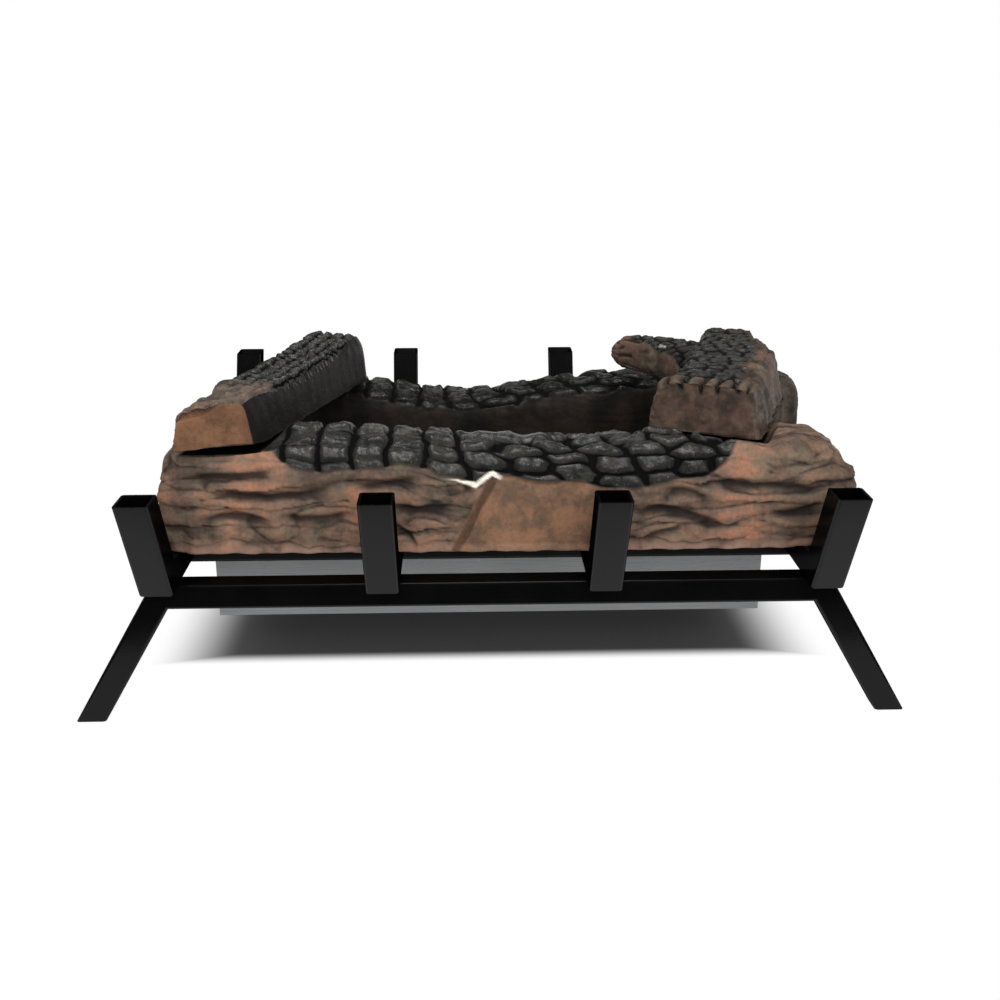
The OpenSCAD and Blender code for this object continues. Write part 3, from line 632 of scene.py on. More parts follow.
def buildFrontLog():
    p = frontLog
    v, x, k, low, high = lowerRows(p)
    # its right end rises from below and falls from above
    past = np.clip(v - 0.7, 0, None) ** 2
    low = low + p["endRise"] * p["undercut"] * past
    high = high - p["endFall"] * p["height"] * past
    points, normals, faces, around, leftEnd, rightEnd = lowerSkin(p, frontLogY, x, k, low, high)
    endFace = np.maximum(leftEnd, rightEnd)
    x, y, z = points.T
    wander = swirl(x, y, z, 31, 26)
    char = smooth(*p["charEdge"], z - charEdgeHeight(x) + 3 * wander) * (1 - endFace)
    share = (x - p["shift"]) / (p["length"] / 2)
    tall = z - logBase
    # the smooth cut face: a flat patch right of a slanted line, below the char
    fromCut = share - mix(p["cutLow"], p["cutHigh"], tall / p["height"])
    onBevel = smooth(0, 0.008, fromCut) * smooth(p["bevel"] + 0.006, p["bevel"] - 0.006, fromCut)
    cut = smooth(-0.004, 0.008, fromCut) * smooth(0, 0.05, p["cutRight"] - share)
    cut = cut * smooth(-150, -170, y) * (1 - char)
    rolls = barkRolls(x, y, z, 11, *p["rolls"])
    layers = plates(x, z - 0.35 * (y + 190), 211, p["platePitch"])
    main = mix(barkRows(x, tall), frontFurrows(share, tall, p["height"]), smooth(*p["faceY"], y))
    coal = cobbles(x, around, 21)
    # the lumps on the crest above the painted highlight stay high
    crestKept = smooth(38, 24, np.abs(x - 16)) * smooth(2, -8, around) * smooth(-40, -30, around)
    coal = np.maximum(coal, 0.85 * crestKept)
    barkDepth = relief["depth"] * main + p["fineBark"] * (1 - rolls) + p["plateDepth"] * layers
    facetDepth = relief["depth"] * smooth(0, p["bevel"], fromCut) + 0.6 * swirl(x, y, z, 9, 18)
    depth = mix(barkDepth, facetDepth, cut)
    depth = mix(depth, p["charDepth"] * (1 - coal) - p["charRise"], char)
    depth = depth * (1 - 0.6 * endFace) + 1.2 * endFace * (1 + swirl(y, z, x, 12, 7))
    # the shoulder under the left log keeps its height
    shoulder = smooth(-165, -180, x) * smooth(-168, -180, y) * smooth(196, 206, z) * (1 - endFace)
    depth = depth * (1 - 0.8 * shoulder) - 0.4 * shoulder
    points = sinkLower(points, normals, depth)
    left, right = endShape(x, y, z)
    points[:, 0] += left - right
    # painted shade where the top logs lie: the front log turns to near-black char there
    shadeUnderTops = smooth(3, -1, underTops(x, y)) * smooth(206, 210, z) * np.where(x < 0, smooth(-187, -183, y), 1)
    char = np.maximum(char, shadeUnderTops)
    coal = coal * (1 - shadeUnderTops)
    # painted highlight: a thin pale streak along the lower edge of the char
    thick = 0.4 + 1.7 * smooth(-32, -12, x) - 0.8 * smooth(0, 6, x)
    chip = np.abs(z - charEdgeHeight(x) + 1.0) / thick + 0.6 * np.abs(swirl(x / 5, y / 5, z / 3, 14))
    ash = smooth(1.3, 0.7, chip) * smooth(*p["ashFrom"], x) * smooth(*p["ashTo"], x) * (y < frontLogY)
    height = rolls * (1 - 0.85 * main) * (1 - 0.8 * layers) * (1 - cut) + cut * (0.92 - 0.5 * onBevel)
    height = mix(height, np.clip(coal, 0, 1), char)
    marks = {"relief": height, "char": char, "cut": np.clip(cut, 0, 1), "ash": ash}
    return [(fitUnderTops(points), *faces)], marks


# Rear log

rearLog = {
    "length": 584.0, "width": 88.0, "height": 57.0, "sag": (20.0, -20.0, 100.0), "endDrop": 9.0,
    "shift": 21.0, "power": 0.66, "undercut": 24.0, "lump": 1.6, "spacing": 1.6, "columns": 160,
    "endSteps": 14, "patternShift": 13.0, "charDepth": 5.0, "charRise": 1.4, "charEdge": (-11.0, -7.0),
    "fineBark": 1.0, "rolls": (13.0, 120.0),
}
rearLogY = grate["postInY"] - grate["postGap"] - rearLog["width"] / 2


def buildRearLog():
    p = rearLog
    _, rowX, k, low, high = lowerRows(p)
    # its left end drops and rises again at the very end
    high = high - p["endDrop"] / (1 + np.exp((rowX + 225) / 8))
    high = high + 2 * smooth(-238, -250, rowX) + 5 * smooth(-254, -268, rowX)
    points, normals, faces, around, leftEnd, rightEnd = lowerSkin(p, rearLogY, rowX, k, low, high)
    endFace = np.maximum(leftEnd, rightEnd)
    x, y, z = points.T
    wander = swirl(x, y, z, 41, 22)
    belowTop = np.interp(x, rowX, high) - z
    inside = smooth(-235, -222, x) * smooth(274, 262, x)
    char = smooth(*p["charEdge"], 5 * wander - belowTop) * (1 - endFace) * inside
    rolls = barkRolls(x, y, z, 51, *p["rolls"])
    main = smooth(0, 8, y - rearLogY) * barkRows(x + p["patternShift"], z - logBase)
    coal = cobbles(x + p["patternShift"], around, 47)
    barkDepth = relief["depth"] * main + p["fineBark"] * (1 - rolls)
    depth = mix(barkDepth, p["charDepth"] * (1 - coal) - p["charRise"], char)
    depth = depth * (1 - 0.6 * endFace) + endFace * (1 + swirl(y / 5, z / 40, x / 7, 49))
    height = mix((0.6 + 0.4 * rolls) * (1 - 0.6 * main), np.clip(coal, 0, 1), char)
    # both ends and the top of the left one are pale bare wood with streaks
    paleEnd = np.maximum(endFace, smooth(258, 264, x + 5 * swirl(0, y / 9, z / 9, 53)) * (1 - char))
    paleEnd = np.maximum(paleEnd, smooth(-236, -244, x) * smooth(14, 8, belowTop))
    height = mix(height, 0.66 + 0.45 * swirl(x / 4 + y / 4, z / 45, 0, 54), paleEnd)
    marks = {"relief": height, "char": char, "cut": paleEnd}
    return [(fitUnderTops(sinkLower(points, normals, depth)), *faces)], marks


# Top logs, which lie across the seats of the front and rear logs

seatCut = {"front": 13.0, "rear": 7.0}


def seatHalf(p, cutDepth):
    # half width of a log's section where its seat is cut flat
    b = (p["height"] + p["undercut"]) / 2
    q = 2 / p["power"]
    return p["width"] / 2 * (1 - ((b - cutDepth) / b) ** q) ** (1 / q)


frontSeat = logBase + frontLog["height"] - seatCut["front"]
rearSeat = logBase + rearLog["height"] - seatCut["rear"]
frontSeatY = frontLogY + seatHalf(frontLog, seatCut["front"])
rearSeatY = rearLogY + seatHalf(rearLog, seatCut["rear"])
topTilt = math.atan2(rearSeat - frontSeat, rearSeatY - frontSeatY)


def onSeats(points):
    # tilts a shape whose underside is at z = 0 and sets it on both seats
    x, y, z = points.T
    c, s = math.cos(topTilt), math.sin(topTilt)
    y = y - frontSeatY
    return np.stack([x, frontSeatY + y * c - z * s, frontSeat + grate["logGap"] + y * s + z * c], -1)


leftLog = {
    "length": 338.0, "width": 58.0, "height": 35.0, "turn": 10.0, "in": 44.5, "start": 0.66,
    "skew": -0.56, "slope": -0.08, "draft": 0.18, "power": 0.3, "lump": 0.5,
    "spacing": 1.25, "columns": 150, "endSteps": 26, "rise": 0.4, "rolls": (9.0, 34.0),
    "scale": (9.0, 14.0), "coal": {"wander": 0.5, "crack": 0.42, "tilt": 0.3, "fine": 0.13},
    "crackDepth": 3.8, "barkDepth": 4.2, "charStart": (66.0, 104.0),
    "ledge": ((-29, -15, -5, 4), (12.0, 8.0, 6.5, 2.0)),
    "hang": ((-29, -12, -3, 8, 29), (0.2, 0.2, -1.5, -2.3, -2.3)),
}
leftTurn = math.radians(90 - leftLog["turn"])
leftStart = (frontLog["shift"] - frontLog["length"] / 2 + leftLog["in"],
             frontLogY - leftLog["start"] * leftLog["width"])


def aboveBase(points, normals, depth):
    # sinks a surface by its depth and keeps its flat base where it is
    sunk = points - normals * (depth * (1 - smooth(0.8, 0.95, -normals[:, 2])))[:, None]
    sunk[:, 2] = np.where(points[:, 2] < 0.2, 0, np.clip(sunk[:, 2], 0, None))
    return sunk


def coalScales(p, across, along, seed, fine):
    # scales of char that sink toward their back and tilt to one side: 1 on crests, 0 in cracks
    q = p["coal"]
    edge, aside, back, (lift, tilt, _) = cells(across, along, seed, q["wander"], 1.0)
    crest = 0.6 + 0.25 * lift - 0.5 * back + q["tilt"] * (tilt - 0.5) * aside
    return smooth(0, q["crack"], edge) * crest + q["fine"] * fine


def leftPlace(x, y):
    # distance along the left log and to the right of its middle line
    dx, dy = x - leftStart[0], y - leftStart[1]
    c, s = math.cos(leftTurn), math.sin(leftTurn)
    return dx * c + dy * s, dx * s - dy * c


def buildLeftLog():
    p = leftLog
    v = alongRows(p["length"], p["spacing"])
    s = (v + 1) / 2 * p["length"]
    back = s / p["length"]
    k = sawnEnd(v)
    high = p["height"] * k * (1 + p["rise"] * back ** 2)
    station = {
        "x": leftStart[0] + s * math.cos(leftTurn), "y": leftStart[1] + s * math.sin(leftTurn),
        "turn": np.full_like(s, leftTurn), "half": p["width"] / 2 * k, "low": -0.5 * high, "high": high,
        "along": s, "skew": p["skew"] * (1 - back), "slope": p["slope"] * (1 - back),
    }
    t, around = evenAngles(p["columns"], p["width"] / 2, p["height"] * 1.1, p["height"] * -0.55,
                           p["power"], 0.0)
    rings = closeEnds(carry(station, t, p["power"], 0.0, p["lump"], p["draft"]), p["endSteps"])
    points, normals, faces, around, frontEnd, backEnd = skin(rings, around, p["endSteps"])
    topHere = perPoint(high, p["columns"], p["endSteps"])
    x, y, z = points.T
    s, across = leftPlace(x, y)
    rightward = normals[:, 0] * math.sin(leftTurn) - normals[:, 1] * math.cos(leftTurn)
    sawn = np.maximum(frontEnd, backEnd)
    overEdge = (topHere - z) / (9 * smooth(30, 130, s) * smooth(1.05, 0.7, s / p["length"]) + 0.5)
    overEdge = overEdge + 0.3 * swirl(s / 9, z / 6, 0, 79)
    # its right side and the right half of its base are smooth char
    rightSide = smooth(0.5, 0.72, rightward) * (1 - sawn) * smooth(0.8, 1.1, overEdge)
    rightSide = np.maximum(rightSide, smooth(1.5, 0.5, z) * smooth(4, 10, across) * (1 - sawn))
    wander = swirl(x, y, z, 61, 20)
    char = smooth(*p["charStart"], s + 20 * wander + 0.5 * across) * (1 - frontEnd)
    char = np.maximum(char, rightSide)
    u = s / p["scale"][0] + 0.5 * swirl(s / 15, around / 17, 0, 63)
    u = u + 0.2 * swirl(s, around, 0, 64, 6)
    w = around / p["scale"][1] + 0.3 * swirl(s / 20, around / 18, 0, 65)
    fine = swirl(s, around, 0, 68, 4)
    coal = coalScales(p, w, u, 67, fine)
    rolls = barkRolls(s, across, z, 71, *p["rolls"])
    lumpy = swirl(s / 15, around / 9, 0, 72)
    bark = np.clip(0.4 * rolls + 0.25 * np.clip(coal, 0, 1) + 0.3 + 1.0 * lumpy, 0, 1.1)
    depth = mix(p["barkDepth"] * (1 - bark), p["crackDepth"] * (1 - np.clip(coal, 0, 1.05)), char)
    sideDepth = 0.9 + 1.2 * swirl(s / 46, around / 26, 0, 73) + 0.35 * swirl(s, around, 0, 76, 12)
    sideDepth = sideDepth - 3.5 * smooth(0.7, 1.0, s / p["length"]) * smooth(30, 12, np.abs(z - 18))
    depth = mix(depth, sideDepth, rightSide)
    # its top left edge stands out a little beyond the front third
    leftEdge = np.exp(-((around + p["width"] * 0.42) / 13) ** 2)
    depth = depth - 3.2 * leftEdge * smooth(30, 110, s)
    # the front end is sawn but for a chipped ledge at its top left
    line = topHere - np.interp(across, *p["ledge"]) + 1.2 * swirl(across / 9, 0, 0, 77)
    chipped = smooth(-1.2, 0.6, z - line) * smooth(6, -4, across + 6 * swirl(across, z, 0, 78, 8))
    endDepth = (0.8 + 0.8 * swirl(x / 14, y / 14, z / 9, 74) + 0.35 * swirl(x, y, z, 75, 4)
                + 3.2 * chipped * frontEnd)
    points = aboveBase(points, normals, mix(depth, endDepth, sawn))
    # its base rises toward its right before the front seat
    points[:, 2] -= np.interp(across, *p["hang"]) * smooth(-165, -192, y) * (z < 0.2)
    height = mix(mix(bark, np.clip(coal, 0, 1), char), 0.78, rightSide)
    height = mix(height, 0.9 - 0.3 * chipped + 0.3 * fine, sawn)
    marks = {"relief": height, "char": char * (1 - frontEnd), "cut": frontEnd, "flatChar": rightSide}
    return [(onSeats(points), *faces)], marks


# The power, columns and lump of the branch log are those of its trunk and of its limb; its char's edges
# are places across at distances to the back, and the share of the limb's height left bare to its tip

branchLog = {
    "width": 88.0, "height": 40.0, "in": 111.5, "sweep": 75.0, "limbReach": 40.5, "skew": -0.14,
    "slope": 0.06, "draft": 0.18, "power": (0.3, 0.66), "columns": (176, 92), "lump": (1.6, 0.4),
    "spacing": 1.25, "endSteps": 24, "trunkLength": 300.0, "limbLength": 160.0,
    "rise": 0.3, "rolls": (11.0, 60.0), "scale": (14.5, 10.0), "crackDepth": 2.7, "barkDepth": 2.8,
    "coal": {"wander": 0.55, "crack": 0.4, "tilt": 0.4, "fine": 0.15},
    "ridgePitch": 14.5, "notchDepth": 4.2, "tipRadius": 11.0, "tipRows": 14, "tipPull": 7.0,
    "charRight": ((-164, -108, -55, -25, 6, 79, 130), (186, 200, 217, 230, 240, 249, 254)),
    "charLeft": ((-130, -77, -18, 40, 90), (100, 143, 166, 168, 90)),
    "limbBare": ((0.15, 0.3, 0.55, 0.8, 0.9), (0.1, 0.6, 0.75, 0.93, 1.1)),
    "crease": ((-40, 20, 100), (226, 236, 262)),
}


def onPath(path, t):
    # places on the curve that starts at the first point, ends at the third and is drawn to the second
    a, b, c = (np.array(q, float) for q in path)
    t = t[:, None]
    return (1 - t) ** 2 * a + 2 * t * (1 - t) * b + t * t * c


def pathTurn(path, t):
    # the heading of the path, in radians
    a, b, c = (np.array(q, float) for q in path)
    d = (1 - t[:, None]) * (b - a) + t[:, None] * (c - b)
    return np.arctan2(d[:, 1], d[:, 0])


def branchPaths():
    # the middle lines of the trunk and of the limb, each as three points
    p = branchLog
    bx = frontLog["shift"] + frontLog["length"] / 2 - p["in"]
    sweep, span = p["sweep"], rearLogY - frontLogY
    trunk = [(bx, frontLogY + 0.08 * p["width"]), (bx + 0.7 * sweep, frontLogY + 0.38 * span),
             (bx + sweep, frontLogY + 0.92 * span)]
    limb = [(bx + 0.6 * sweep, frontLogY + 0.57 * span), (bx + 0.16 * sweep, frontLogY + 0.73 * span),
            (bx - p["limbReach"], frontLogY + 0.86 * span)]
    return trunk, limb


def trunkHalf(t):
    return branchLog["width"] / 2 * (1 - 0.32 * t ** 1.6 + 0.22 * np.exp(-((t - 0.62) / 0.14) ** 2))


def limbHalf(t):
    return branchLog["width"] * (0.3 - 0.13 * t)


def branchChar(x, y, wander, toTip, heightShare):
    # the char on top of the branch log: between its left and right edge, and along the limb
    p = branchLog
    onTrunk = (smooth(6, -5, x - np.interp(y, *p["charRight"]) + 12 * wander)
               * smooth(-5, 5, x - np.interp(y, *p["charLeft"]) + 10 * wander))
    onTrunk = onTrunk * smooth(124, 108, y + 8 * wander)
    onLimb = smooth(-0.05, 0.05, heightShare - np.interp(toTip, *p["limbBare"]) + 0.12 * wander)
    return mix(onTrunk, onLimb, smooth(0, 0.25, toTip))


def roundTip(rings, heading):
    # draws the limb's last rings back by the square of how far they lie from the middle of the tip
    p = branchLog
    lastRow = len(rings) - p["endSteps"]
    away = np.linalg.norm((rings - middleOf(rings[lastRow]))[..., 1:], axis=-1) / p["tipRadius"]
    near = smooth(lastRow - p["tipRows"], lastRow, np.arange(len(rings))[:, None])
    pull = p["tipPull"] * near * np.clip(away, 0, 1.3) ** 2
    return rings - pull[..., None] * np.array([math.cos(heading), math.sin(heading), 0])


def buildShell(station, isTrunk):
    # one of the two shells of the branch log with its marks
    p = branchLog
    power, columns, lump = (p[key][not isTrunk] for key in ("power", "columns", "lump"))
    angles, around = evenAngles(columns, station["half"][0], station["high"][0], station["low"][0],
                                power, 0.0)
    rings = closeEnds(carry(station, angles, power, 0.0, lump, p["draft"]), p["endSteps"])
    if not isTrunk:
        rings = roundTip(rings, station["turn"][-1])
    points, normals, faces, around, frontEnd, otherEnd = skin(rings, around, p["endSteps"])
    frontEnd = frontEnd * isTrunk
    along, half, topHere, lowHere = (perPoint(station[key], columns, p["endSteps"])
                                     for key in ("along", "half", "high", "low"))
    heading = station["turn"][0]
    side = np.where(frontEnd > 0, (points[:, 1] - station["y"][0]) * math.cos(heading)
                    - (points[:, 0] - station["x"][0]) * math.sin(heading),
                    half * perColumn(signedPower(cosDegrees(angles), power), len(rings)))
    x, y, z = points.T
    top = smooth(0.35, 0.75, normals[:, 2])
    wander = swirl(x, y, z, 81, 22)
    # scales lie across the trunk in rows that step back, the same on both shells
    u = x / p["scale"][0] + 0.4 * swirl(x, y, 0, 83, 17)
    w = (y + 1.3 * z) / p["scale"][1] + 0.6 * swirl(x / 20, y / 16, 0, 84)
    w = w + 0.15 * swirl(x, y, 0, 85, 6)
    fine = swirl(x, y, z, 88, 4)
    coal = coalScales(p, u, w, 87, fine)
    rolls = barkRolls(along, around, 0, 91, *p["rolls"])
    # ridges run back from the sawn end, with notches between them
    across = side * math.pi / p["ridgePitch"] + 1.3 * swirl(along / 26, side / 24, 0, 97) + 0.5
    ridges = np.abs(np.cos(across))
    notch = (1 - ridges) ** 1.3
    atFront = top * smooth(34, 12, along) * isTrunk * (1 - frontEnd)
    bark = mix(rolls, 1.1 - 1.3 * notch, atFront)
    toTip = (along / p["limbLength"]) * (not isTrunk)
    char = branchChar(x, y, wander, toTip, (z - lowHere) / (topHere - lowHere))
    if isTrunk:
        inFork = smooth(0.3, 0.6, side / half) * smooth(-75, -55, y) * smooth(60, 40, y) * (z > 12)
        char = mix(inFork, char, top) * smooth(-4, 4, along - 24 * ridges ** 1.2 + 6 * wander)
    overEdge = smooth(8, 3, topHere - z + 5 * wander) * frontEnd * smooth(0.55, 0.75, notch)
    char = np.maximum(char * (1 - frontEnd), overEdge)
    # the limb is grooved and bare toward its tip
    tip = smooth(0.5, 0.68, toTip + 0.2 * wander)
    grooves = smooth(0.05, 0.3, swirl(along / 26, around / 6.5, 0, 98))
    bark = bark * (1 - 0.85 * tip) + 0.85 * (0.95 - 0.95 * grooves) * tip
    # the left face near the fork and the right side are smoother
    facet = (1 - top) * smooth(0.15, 0.4, side / half) * (1 - tip) * smooth(-60, -30, y) * (1 - frontEnd)
    bark = bark * (1 - 0.75 * facet) + 0.62 * facet
    rightSide = 0.6 * smooth(0.5, 0.8, -side / half) * (1 - top) * isTrunk
    bark = mix(bark, 0.5 + 0.5 * swirl(along / 12, around / 9, 0, 99), rightSide)
    crease = np.exp(-((x - np.interp(y, *p["crease"]) + 5 * wander) / 4) ** 2) * isTrunk
    bark = bark - 0.7 * crease * smooth(-70, -20, y) * (1 - char)
    depth = mix(p["barkDepth"] * (1 - bark), p["crackDepth"] * (1 - np.clip(coal, 0, 1.05)), char)
    # the sawn front end has year rings and is worn under the notches
    away = np.hypot(x - branchPaths()[0][0][0], 1.6 * (z - 0.4 * p["height"]))
    yearRings = 0.2 * np.sin(away / 1.9 + 3 * swirl(x, z, 0, 96, 14))
    endDepth = (1.2 + 0.9 * swirl(x / 16, y / 16, z / 10, 94) + 0.35 * swirl(x, y, z, 95, 4)
                + yearRings + 3.0 * smooth(0.4, 0.8, notch) * smooth(9, 1, topHere - z + 4 * wander))
    depth = mix(depth + p["notchDepth"] * smooth(0.25, 0.8, notch) * atFront, endDepth, frontEnd)
    height = mix(np.clip(bark, 0, 1), np.clip(coal, 0, 1), char)
    height = mix(height, 0.7 + 0.3 * fine - 0.5 * overEdge, frontEnd)
    points = aboveBase(points, normals, depth)
    # its base sinks before the front seat, and its front end spreads to the left
    points[:, 2] -= (2.6 + 1.5 * smooth(150, 215, x)) * smooth(-138, -156, y) * (z < 0.2) * isTrunk
    spreadOut = 3.5 * smooth(28, 6, along) * smooth(0.15, 1, side / half) * isTrunk
    points[:, 0] -= spreadOut * math.sin(heading)
    points[:, 1] += spreadOut * math.cos(heading)
    chip = smooth(7, 4, np.hypot(0.7 * (along - 78), 4 * (around + 25)) + 5 * fine) * (not isTrunk)
    marks = {"relief": height, "char": char, "cut": frontEnd, "ash": 0.5 * chip * (1 - otherEnd)}
    return (onSeats(points), *faces), marks


def branchStation(path, length):
    # the shares along a path at even steps and the middle line there
    t = (alongRows(length, branchLog["spacing"]) + 1) / 2
    x, y = onPath(path, t).T
    return t, {"x": x, "y": y, "turn": pathTurn(path, t), "along": length * t}


def buildBranchLog():
    p = branchLog
    trunkPath, limbPath = branchPaths()
    t, trunk = branchStation(trunkPath, p["trunkLength"])
    k = sawnEnd(2 * t - 1)
    high = p["height"] * k * (1 + p["rise"] * t)
    trunk.update(half=trunkHalf(t) * k, low=-0.5 * high, high=high,
                 skew=p["skew"] * (1 - t), slope=p["slope"] * (1 - t))
    t, limb = branchStation(limbPath, p["limbLength"])
    limb.update(half=limbHalf(t) * (1 - 0.5 * t ** 6), low=p["height"] * (0.1 + 0.32 * t),
                high=p["height"] * (1.12 + 0.16 * t - 0.24 * t ** 6))
    built = [buildShell(trunk, True), buildShell(limb, False)]
    marks = {markName: np.concatenate([own[markName] for _, own in built]) for markName in built[0][1]}
    return [shell for shell, _ in built], marks


def underTops(x, y):
    # distance outside the footprints of the top logs, negative under them
    s, across = leftPlace(x, y)
    beforeLeft = -(s - leftLog["skew"] * -across)
    outside = np.maximum.reduce([np.abs(across) - leftLog["width"] * 0.5, s - leftLog["length"],
                                 beforeLeft])
    trunk, limb = branchPaths()
    (ax, ay), (bx, by) = trunk[0], trunk[1]
    reach = math.hypot(bx - ax, by - ay)
    beforeTrunk = -((x - ax) * (bx - ax) + (y - ay) * (by - ay)) / reach
    t = np.linspace(0, 1, 61)
    for centre, half in ((onPath(trunk, t), trunkHalf(t)), (onPath(limb, t), limbHalf(t))):
        fork = np.full_like(x, 1e3)
        for (cx, cy), radius in zip(centre, half):
            fork = np.minimum(fork, np.hypot(x - cx, y - cy) - radius * 0.98)
        outside = np.minimum(outside, np.maximum(fork, beforeTrunk))
    return outside


# What the lower logs give way to the top logs, in mm: the gap between them, the slope round a seat and how
# much less it is in front, the hollows under the hanging front ends, and the drop before the branch log
seatFit = {"gap": 0.5, "slope": 1.1, "frontLess": 0.8, "leftHollow": 0.5, "branchHollow": 4.8,
           "moreToRight": 1.6, "drop": 5.0}


def fitUnderTops(points):
    # presses the lower logs down to their flat seats under the top logs
    p = seatFit
    x, y = points[:, 0], points[:, 1]
    outside = underTops(x, y)
    before = smooth(20, 8, outside) * smooth(-152, -158, y) * (x > 0)
    points[:, 2] -= p["drop"] * before * smooth(202, 208, points[:, 2])
    underTrunk = (p["branchHollow"] + p["moreToRight"] * smooth(150, 195, x)) * smooth(9, 3, outside)
    hollow = np.where(x < 0, p["leftHollow"] * smooth(1, -3, outside), underTrunk)
    seat = np.where(y < 0, frontSeat, rearSeat) - hollow * smooth(-128, -142, y)
    slope = p["slope"] - p["frontLess"] * smooth(-148, -156, y)
    underside = frontSeat + grate["logGap"] + (y - frontSeatY) * math.tan(topTilt)
    limit = np.minimum(seat, underside - p["gap"]) + slope * np.clip(outside - 1, 0, None)
    points[:, 2] = np.minimum(points[:, 2], np.maximum(limit, logBase))
    return points


def placeLog(name, body, node, shells, marks, look, slot):
    piece = makeMesh(name, shells, marks, logMaterial(name + "Finish", look))
    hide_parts(node)
    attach(piece, body)
    print("grate:", name, len(piece.data.vertices), "vertices")


frontLook = dict(barkLook, rim=srgb(150, 118, 102))
placeLog("frontLog", "front_log", "front_log", *buildFrontLog(), frontLook, "bark_ceramic")

rearLook = dict(barkLook, rollLow=srgb(22, 19, 17), rollMid=srgb(30, 25, 22), rollHigh=srgb(42, 34, 29),
                dusty=srgb(29, 27, 25), groove=srgb(9, 8, 8), barkGloss=0.1,
                cutLow=srgb(58, 51, 47), cutHigh=srgb(86, 75, 67),
                char=srgb(22, 22, 21), charTop=srgb(32, 31, 29), charWarm=srgb(40, 37, 33), charGloss=0.24)
placeLog("rearLog", "rear_log", "rear_log", *buildRearLog(), rearLook, "charred_ceramic")

leftLook = dict(barkLook, rollLow=srgb(62, 54, 48), rollMid=srgb(86, 74, 66), rollHigh=srgb(108, 87, 76),
                cutLow=srgb(102, 72, 52), cutHigh=srgb(127, 90, 64), charGloss=0.26)
placeLog("leftLog", "left_log", "left_log", *buildLeftLog(), leftLook, "charred_ceramic")

branchLook = dict(barkLook, rollLow=srgb(58, 48, 42), rollMid=srgb(80, 65, 56), rollHigh=srgb(104, 79, 67),
                  cutLow=srgb(58, 47, 40), cutHigh=srgb(92, 72, 60), crack=srgb(24, 23, 22),
                  charGloss=0.3, charRoughness=(0.33, 0.5))
placeLog("branchLog", "branch_log", "branch_log", *buildBranchLog(), branchLook, "bark_ceramic")

# Floor, light and camera

# Pairs are where a step starts and ends, in metres on the floor and as the height of a direction in the
# sky; the boxes are soft light round a direction, over a base, and the lamps are in metres and watts
studio = {
    "floorSize": 12.0, "floorColour": 0.3, "shadowColour": 0.13,
    "whiteX": (0.22, 0.30), "whiteY": (0.078, 0.10),
    "poolX": (0.42, 0.5), "poolY": (0.318, 0.338), "poolFrom": (0.09, 0.16), "poolStrength": 0.9,
    "litBehind": (0.0, 0.25), "behindStrength": 0.8, "horizon": (0.06, 0.3), "horizonStrength": 0.7,
    "overhead": (0.72, 0.95), "overheadStrength": 0.7, "boxEdge": (0.72, 0.94),
    "boxes": ({"toward": (0.1, -0.85, 0.5), "strength": 3.5, "base": 0.4},
              {"toward": (-0.3, 0.85, 0.5), "strength": 1.3, "base": 0.0}),
    "lamps": {"main": {"place": (0.05, -0.6, 1.65), "size": (0.6, 0.4), "power": 3.5},
              "glint": {"place": (-0.15, 0.28, 1.6), "size": (0.24, 0.24), "power": 5.0}},
    "lampAim": (0, 0, 0.12),
    "camera": {"place": (-0.0214, -1.0383, 0.475), "toward": (0.0292, 0.9439, -0.329), "lens": 43.27},
}


def light(tree, kind, strength):
    # white light of some strength: Emission from a surface, Background from the world
    return put(tree, kind, {"Color": (1, 1, 1, 1), "Strength": strength}).outputs[0]


def makeFloor():
    # a pale table top that keeps the shadow; round the object the camera sees it pure white, and
    # polished things see a lit pool before the object and a lit floor behind it
    size = studio["floorSize"]
    mesh = bpy.data.meshes.new("floor")
    mesh.from_pydata([(-size, -size, 0), (size, -size, 0), (size, size, 0), (-size, size, 0)], [],
                     [(0, 1, 2, 3)])
    material = bpy.data.materials.new("paleFloor")
    tree, output = emptyTree(material, "ShaderNodeOutputMaterial")
    path = put(tree, "LightPath")
    place = put(tree, "SeparateXYZ", {0: put(tree, "TexCoord").outputs["Object"]})
    offX, offY = (maths(tree, "ABSOLUTE", place.outputs[axis]) for axis in "XY")
    # the camera sees the shaded part darker than the table lights the object
    seen = path.outputs["Is Camera Ray"]
    tone = step(tree, seen, 0.0, 1.0, studio["floorColour"], studio["shadowColour"])
    table = put(tree, "BsdfDiffuse", {"Color": tone}).outputs[0]
    outside = maths(tree, "MAXIMUM", step(tree, offX, *studio["whiteX"]),
                    step(tree, offY, *studio["whiteY"]))
    plain = mixShader(tree, maths(tree, "MULTIPLY", seen, outside), table, light(tree, "Emission", 1.0))
    pool = maths(tree, "MULTIPLY", step(tree, offX, *studio["poolX"], studio["poolStrength"], 0.0),
                 step(tree, offY, *studio["poolY"], 1.0, 0.0))
    ahead = maths(tree, "MULTIPLY", place.outputs["Y"], -1.0)
    pool = maths(tree, "MULTIPLY", pool, step(tree, ahead, *studio["poolFrom"]))
    behind = step(tree, place.outputs["Y"], *studio["litBehind"], 0.0, studio["behindStrength"])
    mirrored = light(tree, "Emission", maths(tree, "ADD", pool, behind))
    both = mixShader(tree, path.outputs["Is Glossy Ray"], plain, mirrored)
    tree.links.new(both, output.inputs["Surface"])
    mesh.materials.append(material)
    floor = bpy.data.objects.new("floor", mesh)
    bpy.context.scene.collection.objects.link(floor)


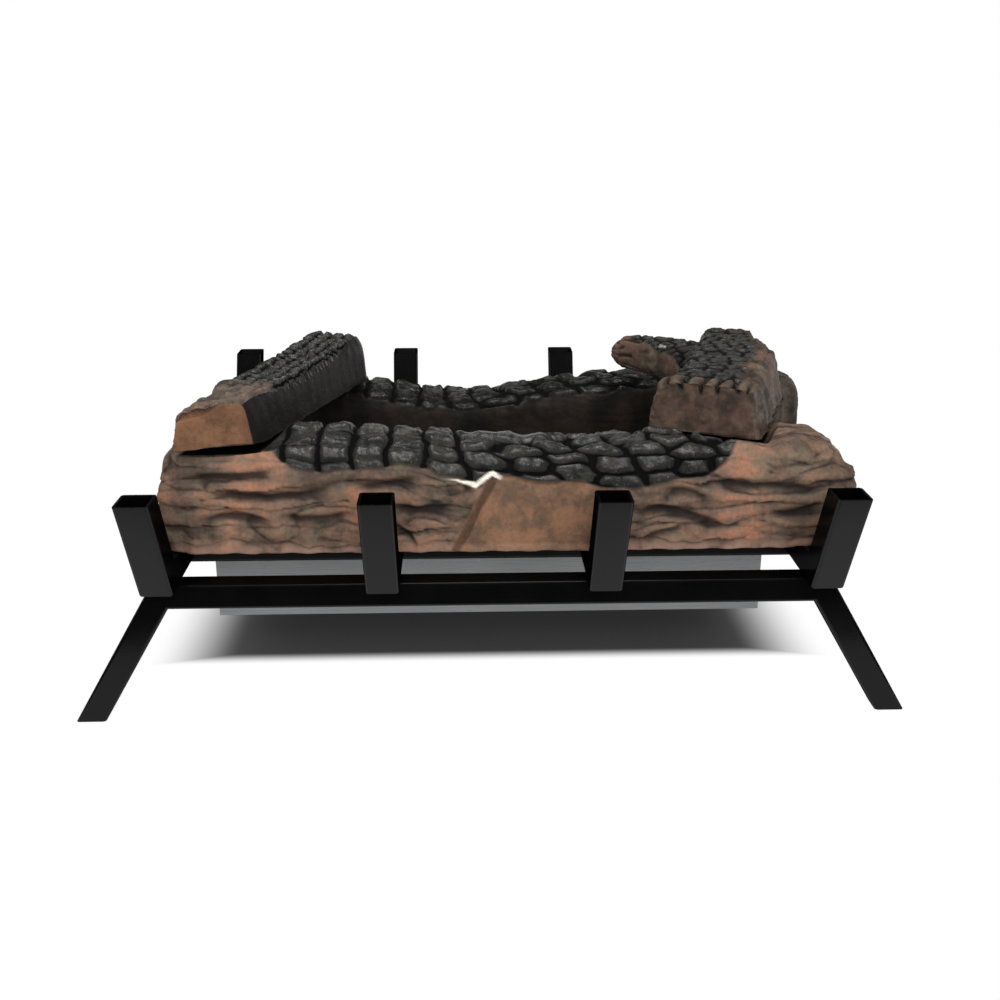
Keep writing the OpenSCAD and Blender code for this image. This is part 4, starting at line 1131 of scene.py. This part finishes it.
def makeWorld():
    # white to the camera; a soft sky with a box of light before and behind lights the object; gloss
    # sees a dim sky with a patch overhead and a pale band at the horizon behind
    world = bpy.data.worlds.new("studio")
    bpy.context.scene.world = world
    tree, output = emptyTree(world, "ShaderNodeOutputWorld")
    path = put(tree, "LightPath")
    direction = put(tree, "TexCoord").outputs["Generated"]
    along = put(tree, "SeparateXYZ", {0: direction})
    boxes = []
    for box in studio["boxes"]:
        toward = tuple(Vector(box["toward"]).normalized())
        facing = put(tree, "VectorMath", {0: direction, 1: toward}, operation="DOT_PRODUCT")
        boxes.append(step(tree, facing.outputs["Value"], *studio["boxEdge"], box["base"], box["strength"]))
    sky = light(tree, "Background", maths(tree, "ADD", *boxes))
    overhead = step(tree, along.outputs["Z"], *studio["overhead"], 0.0, studio["overheadStrength"])
    horizon = maths(tree, "MULTIPLY",
                    step(tree, along.outputs["Z"], *studio["horizon"], studio["horizonStrength"], 0.0),
                    maths(tree, "GREATER_THAN", along.outputs["Y"], 0.0))
    dim = light(tree, "Background", maths(tree, "ADD", overhead, horizon))
    lit = mixShader(tree, path.outputs["Is Glossy Ray"], sky, dim)
    both = mixShader(tree, path.outputs["Is Camera Ray"], lit, light(tree, "Background", 1.0))
    tree.links.new(both, output.inputs["Surface"])


def aimed(name, data, place, toward):
    # puts a lamp or camera in its place and turns it
    item = bpy.data.objects.new(name, data)
    item.location = place
    item.rotation_euler = Vector(toward).to_track_quat("-Z", "Y").to_euler()
    bpy.context.scene.collection.objects.link(item)
    return item


def makeLamp(name, lamp):
    data = bpy.data.lights.new(name, "AREA")
    data.shape = "RECTANGLE"
    data.size, data.size_y = lamp["size"]
    data.energy = lamp["power"]
    aimed(name, data, lamp["place"], Vector(studio["lampAim"]) - Vector(lamp["place"]))


def makeCamera():
    data = bpy.data.cameras.new("camera")
    data.lens = studio["camera"]["lens"]
    data.sensor_width = 36.0
    data.sensor_fit = "HORIZONTAL"
    data.clip_start = 0.01
    bpy.context.scene.camera = aimed("camera", data, studio["camera"]["place"], studio["camera"]["toward"])


makeFloor()
makeWorld()
for lampName, lamp in studio["lamps"].items():
    makeLamp(lampName, lamp)
makeCamera()
bpy.context.scene.view_settings.view_transform = "Standard"
print("grate: floor, lamps and camera")
